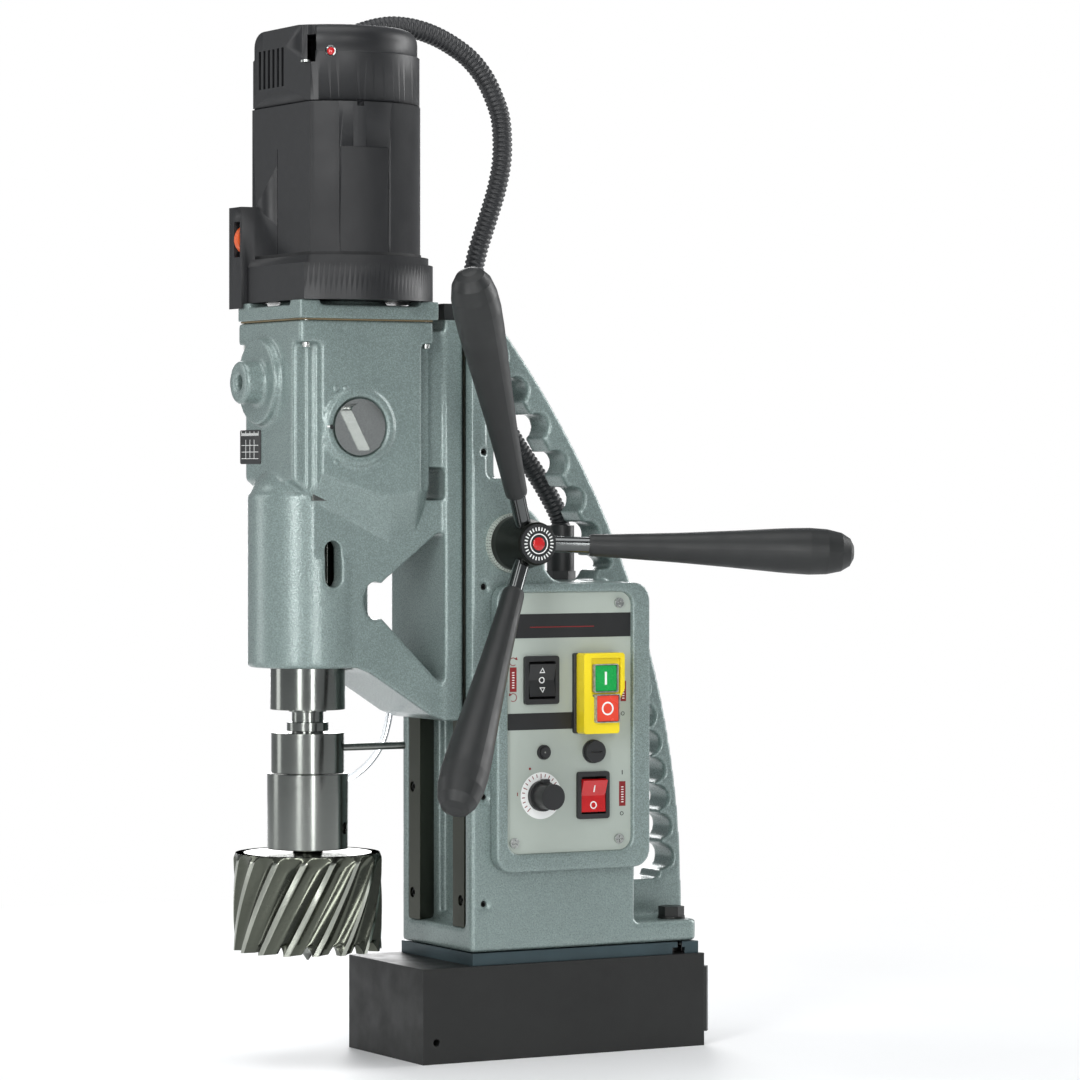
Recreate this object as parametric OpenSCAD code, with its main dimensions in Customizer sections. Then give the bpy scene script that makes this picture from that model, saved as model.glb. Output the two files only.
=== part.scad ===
// Magnetic drill press: a two-speed core drill on a column that an electromagnet holds down.
// Millimetres. The origin is the middle of the magnet's face, +Z is up, the drill stands
// towards -Y and the control panel and the capstan face +X.

/* [Magnet] */
// Length of the magnet along Y
magnet_l = 220; // [200:1:240]
// Width of the magnet along X
magnet_w = 110; // [104:1:120]
// Height of the magnet
magnet_h = 64; // [58:1:70]
// Thickness of the swivel plate on the magnet
plate_t = 8.3; // [6:0.1:12]

/* [Stand] */
// Half width of the stand casting
stand_hw = 51; // [48:0.5:54]
// Front face of the stand, where the head slides
stand_front = -71; // [-75:0.5:-68]
// Top of the column
column_top = 513; // [480:1:520]
// Half thickness of the rear handle
handle_hw = 14; // [10:0.5:18]
// Radius of each finger scallop in the handle
scallop_r = 9; // [6:0.5:11]

/* [Head] */
// Distance of the spindle axis in front of the origin
spindle_y = -169; // [-172:0.5:-166]
// Distance of the motor axis in front of the origin
motor_y = -150; // [-152:0.5:-148]
// Radius of the gear case's lower cylinder
quill_r = 40.4; // [39:0.1:42]
// Half width of the slide
slide_hw = 40; // [38:0.5:42]
// Radius of the motor's drum
motor_r = 59; // [57:0.5:60]
// Height of the motor's top face
motor_top = 695; // [680:1:705]

/* [Tool] */
// Diameter of the core cutter
cutter_d = 100; // [40:1:100]
// Number of teeth on the core cutter
cutter_teeth = 16; // [10:1:24]
// Diameter of the arbor's body
arbor_d = 54.5; // [50:0.5:58]

/* [Capstan] */
// Length of an arm from the hub's axis to the grip's end
arm_l = 222; // [180:1:240]
// Angle of the arms away from the hub's plane
arm_tilt = 25; // [15:1:30]
// Number of arms
arm_count = 3; // [3:1:4]

/* [Hidden] */
$fn = 64;
eps = 0.01;
run_gap = 0.05;                 // radial clearance of a running fit
slide_gap = 0.3;                // clearance between sliding faces
plate_top = magnet_h + plate_t;
stand_z = plate_top + 0.3;
flange_top = 87;
pivot_y = 0;                    // swivel axis of the stand
pin_r = 12;
clamp_x = 34;                   // rear clamp bolts
clamp_y = 96;
clamp_r = sqrt(clamp_x * clamp_x + pow(clamp_y - pivot_y, 2));
clamp_a = atan2(clamp_x, clamp_y - pivot_y);
swivel_a = 7;
recess_y = -57.5;               // floor of the guide recess
channel_hw = 22;
channel_back = -51.3;
rail_in = 24;                   // inner edge of a rail at the front
rail_in_back = 29;
column_back = -44;               // back face of the column above the housing
body_back = 57.5;
body_top = 322;
capstan_y = -40;
capstan_z = 349;
pinion_m = 2;
pinion_z = 14;
rack_y = capstan_y - pinion_m * pinion_z / 2;
head_z0 = 229;                  // bottom of the slide
head_z1 = 500;
slide_back = stand_front - 0.4;
case_hw = 48;
case_front = -198;
case_back = -98.5;
case_z0 = 378;
case_z1 = 498;
gasket_t = 1;
cap_t = 12.5;
cap_z = case_z1 + gasket_t;
flange_z = cap_z + cap_t;
wall = 6;
quill_z0 = 266;
drum_z = 541;
motor_cap_z = 643;
// Gear train: the shafts' places and the teeth, from the motor to the spindle
shaft_a = [18, -132.65];
shaft_b = [-11.73, -128.675];
m_first = 1.25;
m_second = 1.5;
m_third = 2;
z_motor = 9;
z_first = 31;
z_slow_a = 12;
z_slow_b = 28;
z_fast_a = 16;
z_fast_b = 24;
z_last_b = 11;
z_spindle = 31;
shaft_r = 6;
// Control panel, as places on the +X side
panel_y0 = -57;
panel_y1 = 63;
panel_z0 = 126.5;
panel_z1 = 321.5;
sheet_box = [-48, 49, 138.7, 315.3];
panel_x0 = stand_hw;
panel_x1 = 61;
face_x = 58;                    // outer face of the panel sheet
sheet_t = 2;
// Conduit from the motor to the stand, points on its centre line
conduit_r = 7;
conduit_path = [[0, -134, 693.2], [-0.3, -119, 698], [-1, -104.5, 700.5], [-2, -89, 700],
    [-3, -74, 696.9], [-4.5, -58.3, 691], [-6, -42.5, 682], [-8, -29.4, 669.6], [-10, -20.1, 655],
    [-12, -14.4, 642.1], [-14, -11.8, 626.4], [-16, -11.5, 610.6], [-18, -14.2, 593.4],
    [-20, -18.4, 577.5], [-21.5, -22.9, 562.8], [-23, -26.6, 549.5], [-24.5, -28.8, 536],
    [-26, -28.8, 519.4], [-27, -26.6, 499.4], [-27, -21.5, 476.5], [-27, -13.6, 454.4],
    [-27, -4.1, 432.9], [-27, 7.1, 415.5], [-27, 18.5, 400.8], [-27, 28.6, 387],
    [-27, 37, 373.5], [-27, 40, 368], [-27, 41.6, 364], [-27, 42, 361.1]];
gland = [-27, 42];              // conduit's gland on the housing's shoulder
// Coolant tube from the ring on the arbor to the fitting on the slide
tube_r = 2.5;
tube_path = [[-29.7, -169, 208], [-38, -168, 206], [-48, -163, 202], [-57, -154, 195],
    [-65, -142, 188], [-70, -128, 183], [-73, -112, 182], [-74, -97, 186], [-73, -85, 195],
    [-71, -77, 207], [-69, -73, 221], [-66, -72, 236], [-62, -74, 249], [-57, -77, 258],
    [-53, -78, 262], [-48.7, -78, 262]];

// ---------- shared shapes ----------

// Points of a rectangle with rounded corners, centred on the origin
function round_rect(w, h, r, n = 6) = [for (k = [0:3]) for (i = [0:n])
    let (a = 90 * k + 90 * i / n,
         cx = (k == 0 || k == 3) ? w / 2 - r : r - w / 2,
         cy = k < 2 ? h / 2 - r : r - h / 2)
    [cx + r * cos(a), cy + r * sin(a)]];

// A point on a cubic curve with four control points
function curve_point(p, t) = pow(1 - t, 3) * p[0] + 3 * t * pow(1 - t, 2) * p[1]
    + 3 * t * t * (1 - t) * p[2] + t * t * t * p[3];
function curve_points(p, n) = [for (i = [0:n]) curve_point(p, i / n)];

// Flat outline in the Y-Z plane, pulled from x0 to x1
module side_extrude(x0, x1) {
    translate([x0, 0, 0]) rotate([90, 0, 90]) linear_extrude(x1 - x0) children();
}

// Rounded plate in the Y-Z plane
module side_plate(x0, x1, y0, y1, z0, z1, r) {
    side_extrude(x0, x1) translate([(y0 + y1) / 2, (z0 + z1) / 2])
        polygon(round_rect(y1 - y0, z1 - z0, r));
}

// Rod along X, Y or Z
module rod_x(x0, x1, y, z, r) {
    translate([x0, y, z]) rotate([0, 90, 0]) cylinder(h = x1 - x0, r = r);
}
module rod_y(y0, y1, x, z, r) {
    translate([x, y0, z]) rotate([-90, 0, 0]) cylinder(h = y1 - y0, r = r);
}
module rod_z(z0, z1, x, y, r) {
    translate([x, y, z0]) cylinder(h = z1 - z0, r = r);
}

// Ring about Z
module ring(z0, z1, ro, ri) {
    translate([0, 0, z0]) difference() {
        cylinder(h = z1 - z0, r = ro);
        translate([0, 0, -1]) cylinder(h = z1 - z0 + 2, r = ri);
    }
}

// Box from its two corners
module box(a, b) {
    translate(a) cube(b - a);
}

// Involute teeth: half the tooth's angle at radius q
function involute(a) = tan(a) * 180 / PI - a;
function tooth_half(z, rb, q, slack) = 90 / z - slack + involute(20)
    - involute(acos(min(1, rb / q)));
module gear_outline(z, m, slack = 0.6, tip = 0.95) {
    r = m * z / 2;
    rb = r * cos(20);
    root = r - 1.3 * m;
    levels = [root, max(rb, root + 0.1), r, r + tip * m / 2, r + tip * m];
    halves = [for (q = levels) q <= rb ? tooth_half(z, rb, rb, slack) * 0.92
        : tooth_half(z, rb, q, slack)];
    polygon([for (t = [0:z - 1]) for (s = [-1, 1]) for (k = [0:4])
        let (j = s < 0 ? k : 4 - k, a = 360 * t / z + s * halves[j])
        [levels[j] * cos(a), levels[j] * sin(a)]]);
}
// A gear about Z, its first tooth at the given angle
module gear(z, m, z0, z1, turn = 0, slack = 0.6, tip = 0.95) {
    translate([0, 0, z0]) rotate(turn) linear_extrude(z1 - z0) gear_outline(z, m, slack, tip);
}
// Direction from one axis to another
function heading(from, to) = atan2(to[1] - from[1], to[0] - from[0]);

// Socket-head screw along -Z, the head's top at the origin
module cap_screw(d, l, head_h) {
    difference() {
        union() {
            translate([0, 0, -head_h]) cylinder(h = head_h, r = d * 0.8);
            translate([0, 0, -head_h - l]) cylinder(h = l + eps, r = d / 2);
        }
        translate([0, 0, -head_h * 0.6]) cylinder(h = head_h, r = d * 0.42, $fn = 6);
    }
}

// Corrugated or plain tube swept along a path, as one closed solid of rings
function unit(v) = v / norm(v);
function path_dir(p, i) = unit(p[min(i + 1, len(p) - 1)] - p[max(i - 1, 0)]);
function side_dir(d) = unit(cross(d, [0.9, 0.1, 0.3]));
function sweep_points(p, r, n) = [for (i = [0:len(p) - 1])
    let (d = path_dir(p, i), u = side_dir(d), w = cross(d, u))
    for (k = [0:n - 1]) p[i] + r * (cos(360 * k / n) * u + sin(360 * k / n) * w)];
module sweep(p, r, n) {
    last = (len(p) - 1) * n;
    polyhedron(points = sweep_points(p, r, n), faces = concat(
        [[for (k = [0:n - 1]) k]], [[for (k = [n - 1:-1:0]) last + k]],
        [for (i = [0:len(p) - 2]) for (k = [0:n - 1])
            [i * n + k, (i + 1) * n + k, (i + 1) * n + (k + 1) % n]],
        [for (i = [0:len(p) - 2]) for (k = [0:n - 1])
            [i * n + k, (i + 1) * n + (k + 1) % n, i * n + (k + 1) % n]]), convexity = 6);
}

// ---------- magnet and swivel ----------

coil_w = 86;      // racetrack groove for the coil, outside
coil_l = 196;
core_w = 46;      // steel core inside the groove
core_l = 156;
groove_h = 46;
resin_t = 5;
side_hole_y = -100;
side_hole_z = 14.5;
side_hole_r = 2.5;

// Racetrack band between an outer and an inner rounded rectangle
module racetrack(z0, z1, ow, ol, iw, il) {
    translate([0, 0, z0]) linear_extrude(z1 - z0) difference() {
        polygon(round_rect(ow, ol, 14));
        polygon(round_rect(iw, il, 6));
    }
}

module magnet_body() {
    color("#2d302c") difference() {
        box([-magnet_w / 2, -magnet_l / 2, 0], [magnet_w / 2, magnet_l / 2, magnet_h]);
        racetrack(-1, groove_h, coil_w, coil_l, core_w, core_l);
        for (s = [-1, 1])
            rod_x(s * (magnet_w / 2 - 5) - 7, s * (magnet_w / 2 - 5) + 7, side_hole_y,
                side_hole_z, side_hole_r);
        for (s = [-1, 1]) rod_y(magnet_l / 2 - 14, magnet_l / 2 + 1, s * 34, 31, 3);
        // lead-in for the coil's wires
        rod_z(groove_h - 1, magnet_h + 1, 0, 84, 4);
    }
}

// Coils with the resin they are potted in, one unit
module magnet_coils() {
    color("#1d1d1c") union() {
        racetrack(resin_t - 0.5, groove_h - 2, coil_w - 4, coil_l - 4, core_w + 4, core_l + 4);
        racetrack(0.3, resin_t, coil_w, coil_l, core_w, core_l);
    }
}

bracket_hw = 50;
bracket_t = 8.5;
strap_slot_w = 42;
module strap_bracket() {
    y0 = magnet_l / 2;
    color("#2a2c2a") difference() {
        translate([0, y0, 9]) linear_extrude(45)
            polygon([[-bracket_hw, 0], [bracket_hw, 0], [bracket_hw, 5], [bracket_hw - 4, bracket_t],
                [4 - bracket_hw, bracket_t], [-bracket_hw, 5]]);
        box([-strap_slot_w / 2, y0 - 1, 8], [strap_slot_w / 2, y0 + 4.5, 55]);
        for (s = [-1, 1]) {
            rod_y(y0 - 1, y0 + bracket_t + 1, s * 34, 31, 3.1);
            rod_y(y0 + bracket_t - 5, y0 + bracket_t + 1, s * 34, 31, 7);
        }
    }
}

module bracket_screws() {
    color("#8d9090") for (s = [-1, 1])
        translate([s * 34, magnet_l / 2 + bracket_t - 0.6, 31]) rotate([-90, 0, 0])
            cap_screw(5.9, 15, 4.4);
}

// Arc about the swivel pivot, between two radii and two angles either side of `mid`
module arc_slot(z0, z1, half_w, mid, half_a) {
    translate([0, pivot_y, z0]) rotate(mid) linear_extrude(z1 - z0) polygon(concat(
        [for (i = [0:12]) (clamp_r + half_w) * [-sin(half_a * (i / 6 - 1)), cos(half_a * (i / 6 - 1))]],
        [for (i = [12:-1:0]) (clamp_r - half_w)
            * [-sin(half_a * (i / 6 - 1)), cos(half_a * (i / 6 - 1))]]));
}

bolt_slot_a = swivel_a + 3.4;
nut_slot_a = swivel_a + 4.6;
module swivel_plate() {
    color("#3f4e51") difference() {
        box([-52, -70.7, magnet_h], [52, 107, plate_top]);
        for (s = [-1, 1]) {
            arc_slot(magnet_h + 4.4, plate_top + 1, 5.6, s * clamp_a, bolt_slot_a);
            arc_slot(magnet_h - 1, magnet_h + 4.5, 7.4, s * clamp_a, nut_slot_a);
        }
        rod_z(magnet_h - 1, plate_top + 1, 0, pivot_y, pin_r);
        rod_z(magnet_h - 1, plate_top + 1, 0, 84, 4);
    }
}

module swivel_pin() {
    color("#a9adad") rod_z(magnet_h, flange_top - 2, 0, pivot_y, pin_r);
}

module at_clamps() {
    for (s = [-1, 1]) translate([s * clamp_x, clamp_y, 0]) children();
}
// Bolts with their washers and the nuts that slide in the plate's arc slots
module clamp_bolts() {
    at_clamps() {
        difference() {
            translate([0, 0, magnet_h + 0.4]) cylinder(h = 3.6, r = 6.8);
            translate([0, 0, magnet_h]) cylinder(h = 6, r = 4.95);
        }
        translate([0, 0, flange_top]) ring(0, 1.8, 9.5, 5.1);
        translate([0, 0, flange_top + 1.8]) cylinder(h = 6.6, r = 9, $fn = 6);
        translate([0, 0, magnet_h + 0.6]) cylinder(h = flange_top - magnet_h + 1.4, r = 4.9);
    }
}

// ---------- stand ----------

grub_y = -61;
grub_z = [105, 177.5, 319.4, 410.7];
outer_curve = [[-36, 508], [20, 440], [117, 300], [117, 99]];
inner_curve = [[-48, 497], [0, 440], [100, 285], [102, 105]];
scallop_count = 18;

// Outline of the handle in the Y-Z plane, its outer edge one curve
module handle_outline() {
    polygon(concat(curve_points(outer_curve, 28), [[117, stand_z], [40, stand_z], [-60, 300],
        [-60, 508]]));
}
// Hand space inside the handle, with its scalloped edge
function even_step(q) = 1.91 * q - 1.61 * q * q + 0.7 * q * q * q;
module hand_space() {
    polygon(concat([for (i = [1:27]) curve_point(inner_curve, i / 28)],
        [[97, 113], [40, 113], [-56, 300], [-56, 480], [-50, 487]]));
    for (i = [1:scallop_count - 1]) translate(curve_point(inner_curve,
        even_step(i / scallop_count))) circle(r = scallop_r, $fn = 24);
}
// Outlines of the housing and of the column in the Y-Z plane, without the handle
module housing_outline() {
    polygon([[stand_front, flange_top], [body_back, flange_top], [body_back, body_top - 5],
        [body_back - 1.5, body_top - 1.5], [body_back - 5, body_top], [stand_front, body_top]]);
}
module column_outline() {
    polygon(concat([[stand_front, body_top], [0, body_top], [-8, body_top + 3], [-13, body_top + 9]],
        [for (a = [0:10:60]) [capstan_y + 27 * cos(a), capstan_z + 27 * sin(a)]],
        [[-35, 378], [-41, 383], [column_back, 392], [column_back, column_top],
            [stand_front, column_top]]));
}
module flange_outline() {
    polygon([[-stand_hw, stand_front], [stand_hw, stand_front], [stand_hw, 102],
        [stand_hw - 2, 106.5], [stand_hw - 8, 109], [8 - stand_hw, 109], [2 - stand_hw, 106.5],
        [-stand_hw, 102]]);
}

// Rear handle with its bridge to the housing's shoulder, cut to meet the housing and the flange
module rear_handle() {
    color("#84968f") difference() {
        side_extrude(-handle_hw, handle_hw) union() {
            difference() {
                handle_outline();
                hand_space();
            }
            polygon([[body_back - 20, 298], [78, 282], [82, 300], [66, 330], [50, 330], [44, 319],
                [38, 318]]);
        }
        side_extrude(-stand_hw, stand_hw) {
            housing_outline();
            column_outline();
        }
        translate([0, 0, stand_z - 1]) linear_extrude(flange_top - stand_z + 1) flange_outline();
    }
}

// The stand is one casting, kept as foot, housing and column
module stand_foot() {
    color("#8a9c97") stand_hollows() translate([0, 0, stand_z]) linear_extrude(flange_top - stand_z)
        flange_outline();
}
module stand_housing() {
    color("#8a9c97") stand_hollows() side_extrude(-stand_hw, stand_hw) housing_outline();
}
module stand_column() {
    color("#8a9c97") stand_hollows() difference() {
        side_extrude(-stand_hw, stand_hw) column_outline();
        // hollowed back edges
        for (s = [-1, 1]) translate([0, 0, 393]) linear_extrude(column_top - 392)
            polygon([[s * (stand_hw + 1), -60.5], [s * stand_hw, -60], [s * 33, column_back],
                [s * 33, column_back + 1], [s * (stand_hw + 1), column_back + 1]]);
    }
}
module stand_hollows() {
    difference() {
        children();
        // guide recess and rack channel in the front, open at the top
        box([-slide_hw - 0.1, stand_front - 1, flange_top + 2], [slide_hw + 0.1, recess_y, column_top + 1]);
        box([-channel_hw, recess_y - 1, flange_top + 6], [channel_hw, channel_back, column_top + 1]);
        rod_x(-channel_hw, channel_hw, capstan_y, capstan_z, 18);
        // electronics bay, closed by the panel
        box([-stand_hw + wall, -42, stand_z + 22], [stand_hw - wall, body_back - wall, 312]);
        side_plate(stand_hw - wall - 1, stand_hw + 1, -38, 35, 149, 304, 4);
        // capstan bore with its two bush seats
        rod_x(-stand_hw - 1, stand_hw + 1, capstan_y, capstan_z, 13);
        // pivot, clamp bolts, gib screws, wires and conduit
        rod_z(stand_z - 1, flange_top - 1, 0, pivot_y, pin_r + run_gap);
        at_clamps() translate([0, 0, stand_z - 1]) cylinder(h = 20, r = 5.1);
        for (z = grub_z) rod_x(slide_hw - 1, stand_hw + 1, grub_y, z, 2.5);
        // wires from the magnet to the bay
        rod_z(stand_z - 1, stand_z + 24, 28, 30, 6);
        rod_z(300, body_top + 1, gland[0], gland[1], 5);
        rod_y(body_back - 8, body_back + 1, 30, 140, 7);
        // front screws of the rails
        for (s = [-1, 1]) for (z = rail_screw_z) rod_y(recess_y - 1, recess_y + 8,
            s * rail_screw_x, z, 2);
        for (y = panel_screw_y) for (z = panel_screw_z) rod_x(stand_hw - 5, stand_hw + 1, y, z, 1.8);
    }
}

rail_screw_x = 35;
rail_screw_z = [107, 180, 253, 326, 399, 472];
// Gib rails either side of the slide: the inner edge leans out to hold the slide's dovetail
module guide_rails() {
    color("#575a4c") for (s = [-1, 1]) difference() {
        translate([0, 0, flange_top + 2]) linear_extrude(column_top - flange_top - 3)
            polygon([[s * rail_in, stand_front], [s * slide_hw, stand_front],
                [s * slide_hw, recess_y], [s * rail_in_back, recess_y]]);
        for (z = rail_screw_z) {
            rod_y(stand_front - 1, recess_y + 1, s * rail_screw_x, z, 2.05);
            rod_y(stand_front - 1, stand_front + 6, s * rail_screw_x, z, 3.6);
        }
    }
}
// Socket screws of the rails, and the grub screws that press the near rail to the slide
// Screws of the stand: rail screws, grub screws of the guide, clamp bolts
module stand_screws() {
    color("#33352f") {
        clamp_bolts();
        for (s = [-1, 1]) for (z = rail_screw_z)
            translate([s * rail_screw_x, stand_front + 1.2, z]) rotate([90, 0, 0])
                cap_screw(4, 12, 4.2);
        for (z = grub_z) difference() {
            rod_x(slide_hw + 0.05, stand_hw - 2.5, grub_y, z, 2.45);
            translate([stand_hw - 5, grub_y, z]) rotate([0, 90, 0])
                cylinder(h = 4, r = 1.3, $fn = 6);
        }
    }
}

shaft_bore = 8;
module capstan_bushes() {
    color("#b08d4f") for (x = [[-stand_hw, 1 - stand_hw + 20], [stand_hw - 24, stand_hw - 0.5]])
        difference() {
            rod_x(x[0], x[1], capstan_y, capstan_z, 13);
            rod_x(x[0] - 1, x[1] + 1, capstan_y, capstan_z, shaft_bore + run_gap);
        }
}
module graduated_collar() {
    color("#9aa39f") difference() {
        rod_x(stand_hw, stand_hw + 4, capstan_y, capstan_z, 20.25);
        rod_x(stand_hw - 1, stand_hw + 5, capstan_y, capstan_z, shaft_bore + 0.4);
    }
}

// ---------- capstan ----------

hub_x0 = 55.4;
hub_x1 = 86;
arm_x = 72;
rod_r = 5.5;
rod_start = 11;
grip_start = 42;
module at_arms() {
    for (k = [0:arm_count - 1]) translate([arm_x, capstan_y, capstan_z])
        rotate([360 * k / arm_count - 1.8, 0, 0]) rotate([0, 0, -arm_tilt]) children();
}
module capstan_shaft() {
    color("#9fa3a3") union() {
        rod_x(-stand_hw - 2, hub_x1 - 8, capstan_y, capstan_z, shaft_bore);
        translate([9, capstan_y, capstan_z]) rotate([0, -90, 0])
            gear(pinion_z, pinion_m, 0, 18, 90, 1.2, 0.95);
    }
}
module capstan_hub() {
    color("#272a24") difference() {
        union() {
            translate([hub_x0, capstan_y, capstan_z]) rotate([0, 90, 0])
                cylinder(h = 6, r = 18.5);
            translate([hub_x0 + 6, capstan_y, capstan_z]) rotate([0, 90, 0])
                cylinder(h = hub_x1 - hub_x0 - 6, r1 = 18.5, r2 = 14.5);
        }
        rod_x(hub_x0 - 1, hub_x1 - 8, capstan_y, capstan_z, shaft_bore);
        at_arms() translate([0, rod_start, 0]) rotate([-90, 0, 0]) cylinder(h = 40, r = rod_r);
    }
}
module hub_cap() {
    color("#35373a") difference() {
        rod_x(hub_x1, hub_x1 + 2.4, capstan_y, capstan_z, 13.25);
        rod_x(hub_x1 + 1.8, hub_x1 + 3, capstan_y, capstan_z, 8);
    }
}
module arm_rods() {
    color("#3a3c3b") at_arms() translate([0, rod_start, 0]) rotate([-90, 0, 0])
        cylinder(h = arm_l - 32 - rod_start, r = rod_r);
}
// Grip about its arm: slim at the hub's end, swelling to a round tip
grip_profile = [[rod_r + 0.1, 0], [7.2, 0], [7.6, 2], [8.2, 20], [10.2, 60], [13.2, 105], [15.4, 135],
    [16, 150], [15.4, 162], [13.2, 172], [9.5, 178], [5, 180.4], [0, 181], [0, 150], [rod_r + 0.1, 150]];
module arm_grips() {
    color("#2b2d2f") at_arms() translate([0, grip_start, 0]) rotate([-90, 0, 0])
        scale((arm_l - grip_start) / 181) rotate_extrude($fn = 48) polygon(grip_profile);
}

// ---------- control panel ----------

panel_screw_y = [-42.6, 39.2];
panel_screw_z = [146.3, 307.8];
rotation_c = [-21.8, 256.1];
magnet_c = [18.6, 176.8];
starter_c = [18.2, 246.6];
speed_c = [-21.4, 177.7];
lamp_c = [-19.5, 207.1];
fuse_c = [19, 206.6];

module panel_frame() {
    color("#84958f") difference() {
        side_plate(panel_x0, panel_x1, panel_y0, panel_y1, panel_z0, panel_z1, 12);
        side_plate(panel_x0 - 1, panel_x1 + 1, -37, 34, 150, 303, 3);
        side_plate(face_x - sheet_t, panel_x1 + 1, sheet_box[0] - 0.2, sheet_box[1] + 0.2,
            sheet_box[2] - 0.2, sheet_box[3] + 0.2, 9);
        for (y = panel_screw_y) for (z = panel_screw_z)
            rod_x(panel_x0 - 1, panel_x1, y, z, 1.8);
    }
}
module panel_sheet() {
    color("#b8c5bf") difference() {
        side_plate(face_x - sheet_t, face_x, sheet_box[0], sheet_box[1], sheet_box[2],
            sheet_box[3], 9);
        side_plate(0, 99, rotation_c[0] - 11.5, rotation_c[0] + 11.5, rotation_c[1] - 14,
            rotation_c[1] + 14, 1);
        side_plate(0, 99, magnet_c[0] - 11, magnet_c[0] + 11, magnet_c[1] - 14, magnet_c[1] + 14, 1);
        side_plate(0, 99, starter_c[0] - 14, starter_c[0] + 14, starter_c[1] - 24.4,
            starter_c[1] + 24.4, 1);
        rod_x(0, 99, speed_c[0], speed_c[1], 4);
        rod_x(0, 99, lamp_c[0], lamp_c[1], 3.5);
        rod_x(0, 99, fuse_c[0], fuse_c[1], 6);
        for (y = panel_screw_y) for (z = panel_screw_z) rod_x(0, 99, y, z, 1.9);
    }
}
module panel_screws() {
    color("#c0c4c4") for (y = panel_screw_y) for (z = panel_screw_z)
        translate([face_x + 2, y, z]) rotate([0, 90, 0]) difference() {
            union() {
                translate([0, 0, -2]) cylinder(h = 2, r = 3.4);
                translate([0, 0, -11]) cylinder(h = 9 + eps, r = 1.75);
            }
            translate([-2.6, -0.45, -1]) cube([5.2, 0.9, 2]);
            translate([-0.45, -2.6, -1]) cube([0.9, 5.2, 2]);
        }
}

// Switch body with a bezel on the sheet and an open well for its rocker
module bezel(c, w, h, well_w, well_h) {
    difference() {
        union() {
            side_plate(face_x, face_x + 2.6, c[0] - w / 2, c[0] + w / 2, c[1] - h / 2,
                c[1] + h / 2, 2);
            side_plate(face_x - 20, face_x, c[0] - well_w / 2 - 1, c[0] + well_w / 2 + 1,
                c[1] - well_h / 2 - 1, c[1] + well_h / 2 + 1, 1);
        }
        side_plate(face_x - 13, face_x + 4, c[0] - well_w / 2, c[0] + well_w / 2,
            c[1] - well_h / 2, c[1] + well_h / 2, 0.5);
        rod_y(c[0] - well_w / 2 - 2, c[0] + well_w / 2 + 2, pivot_x, c[1], pivot_r + run_gap);
    }
}
// Rocker with two sloping halves on a pivot along Y, whose ends sit in the socket's walls
pivot_x = face_x - 1;
pivot_r = 1;
module rocker(c, w, h, rest) {
    translate([pivot_x, c[0], c[1]]) rotate([0, rest, 0]) {
        side_free(w) polygon([[-7, -5], [1.2, -h / 2], [4.6, -h / 2 + 0.4], [2.6, 0],
            [4.6, h / 2 - 0.4], [1.2, h / 2], [-7, 5]]);
        rod_y(-w / 2 - 1, w / 2 + 1, 0, 0, pivot_r);
    }
}
// Outline in the X-Z plane, pulled w along Y about its middle
module side_free(w) {
    translate([0, w / 2, 0]) rotate([90, 0, 0]) linear_extrude(w) children();
}
// Both switches' bodies and the fuse's holder
module panel_sockets() {
    color("#2e2f30") {
        bezel(rotation_c, 26.7, 32.8, 20.5, 25.5);
        bezel(magnet_c, 24.9, 32.2, 19.5, 25.5);
        difference() {
            union() {
                rod_x(face_x, face_x + 2, fuse_c[0], fuse_c[1], 8.1);
                rod_x(face_x - 26, face_x, fuse_c[0], fuse_c[1], 5.95);
            }
            rod_x(face_x - 22, face_x + 3, fuse_c[0], fuse_c[1], 4.6);
        }
    }
}
module rotation_rocker() {
    color("#3b3c3d") rocker(rotation_c, 19.9, 22.6, 0);
}
module magnet_rocker() {
    color("#a62624") rocker(magnet_c, 18.9, 22.6, 8);
}

starter_hw = 18.9;
starter_hh = 27.4;
starter_x1 = face_x + 13;
button_hw = 8.5;
button_hh = 8.7;
green_z = starter_c[1] + 10.3;
red_z = starter_c[1] - 10.2;
button_y = starter_c[0] + 4;
module starter_box() {
    color("#f2dc3c") difference() {
        union() {
            side_plate(face_x, starter_x1, starter_c[0] - starter_hw, starter_c[0] + starter_hw,
                starter_c[1] - starter_hh, starter_c[1] + starter_hh, 2.5);
            side_plate(face_x - 22, face_x, starter_c[0] - 13.5, starter_c[0] + 13.5,
                starter_c[1] - 24, starter_c[1] + 24, 1);
        }
        // wells of the two buttons
        side_plate(face_x - 10, starter_x1 + 1, button_y - button_hw - 0.3,
            button_y + button_hw + 0.3, green_z - button_hh - 0.3, green_z + button_hh + 0.3, 0.6);
        side_plate(face_x - 10, starter_x1 + 1, button_y - button_hw - 0.3,
            button_y + button_hw + 0.3, red_z - button_hh - 0.3, red_z + button_hh + 0.3, 0.6);
        side_plate(starter_x1 - 3, starter_x1 + 1, button_y - 11, button_y + 11,
            starter_c[1] - 20, starter_c[1] + 24, 1.5);
        // the right edge steps in beside the stop button
        side_extrude(face_x + 2, starter_x1 + 1) polygon([[starter_c[0] + 14.3, starter_c[1] - 30],
            [starter_c[0] + 30, starter_c[1] - 30], [starter_c[0] + 30, starter_c[1] + 4],
            [starter_c[0] + 18.9, starter_c[1] + 4], [starter_c[0] + 14.3, starter_c[1] - 4]]);
    }
}
module start_button() {
    color("#12b154") side_plate(face_x - 4, face_x + 12.5, button_y - button_hw,
        button_y + button_hw, green_z - button_hh, green_z + button_hh, 0.8);
}
module stop_button() {
    color("#e0452c") side_plate(face_x - 4, face_x + 15, button_y - button_hw,
        button_y + button_hw, red_z - button_hh, red_z + button_hh, 0.8);
}
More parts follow.
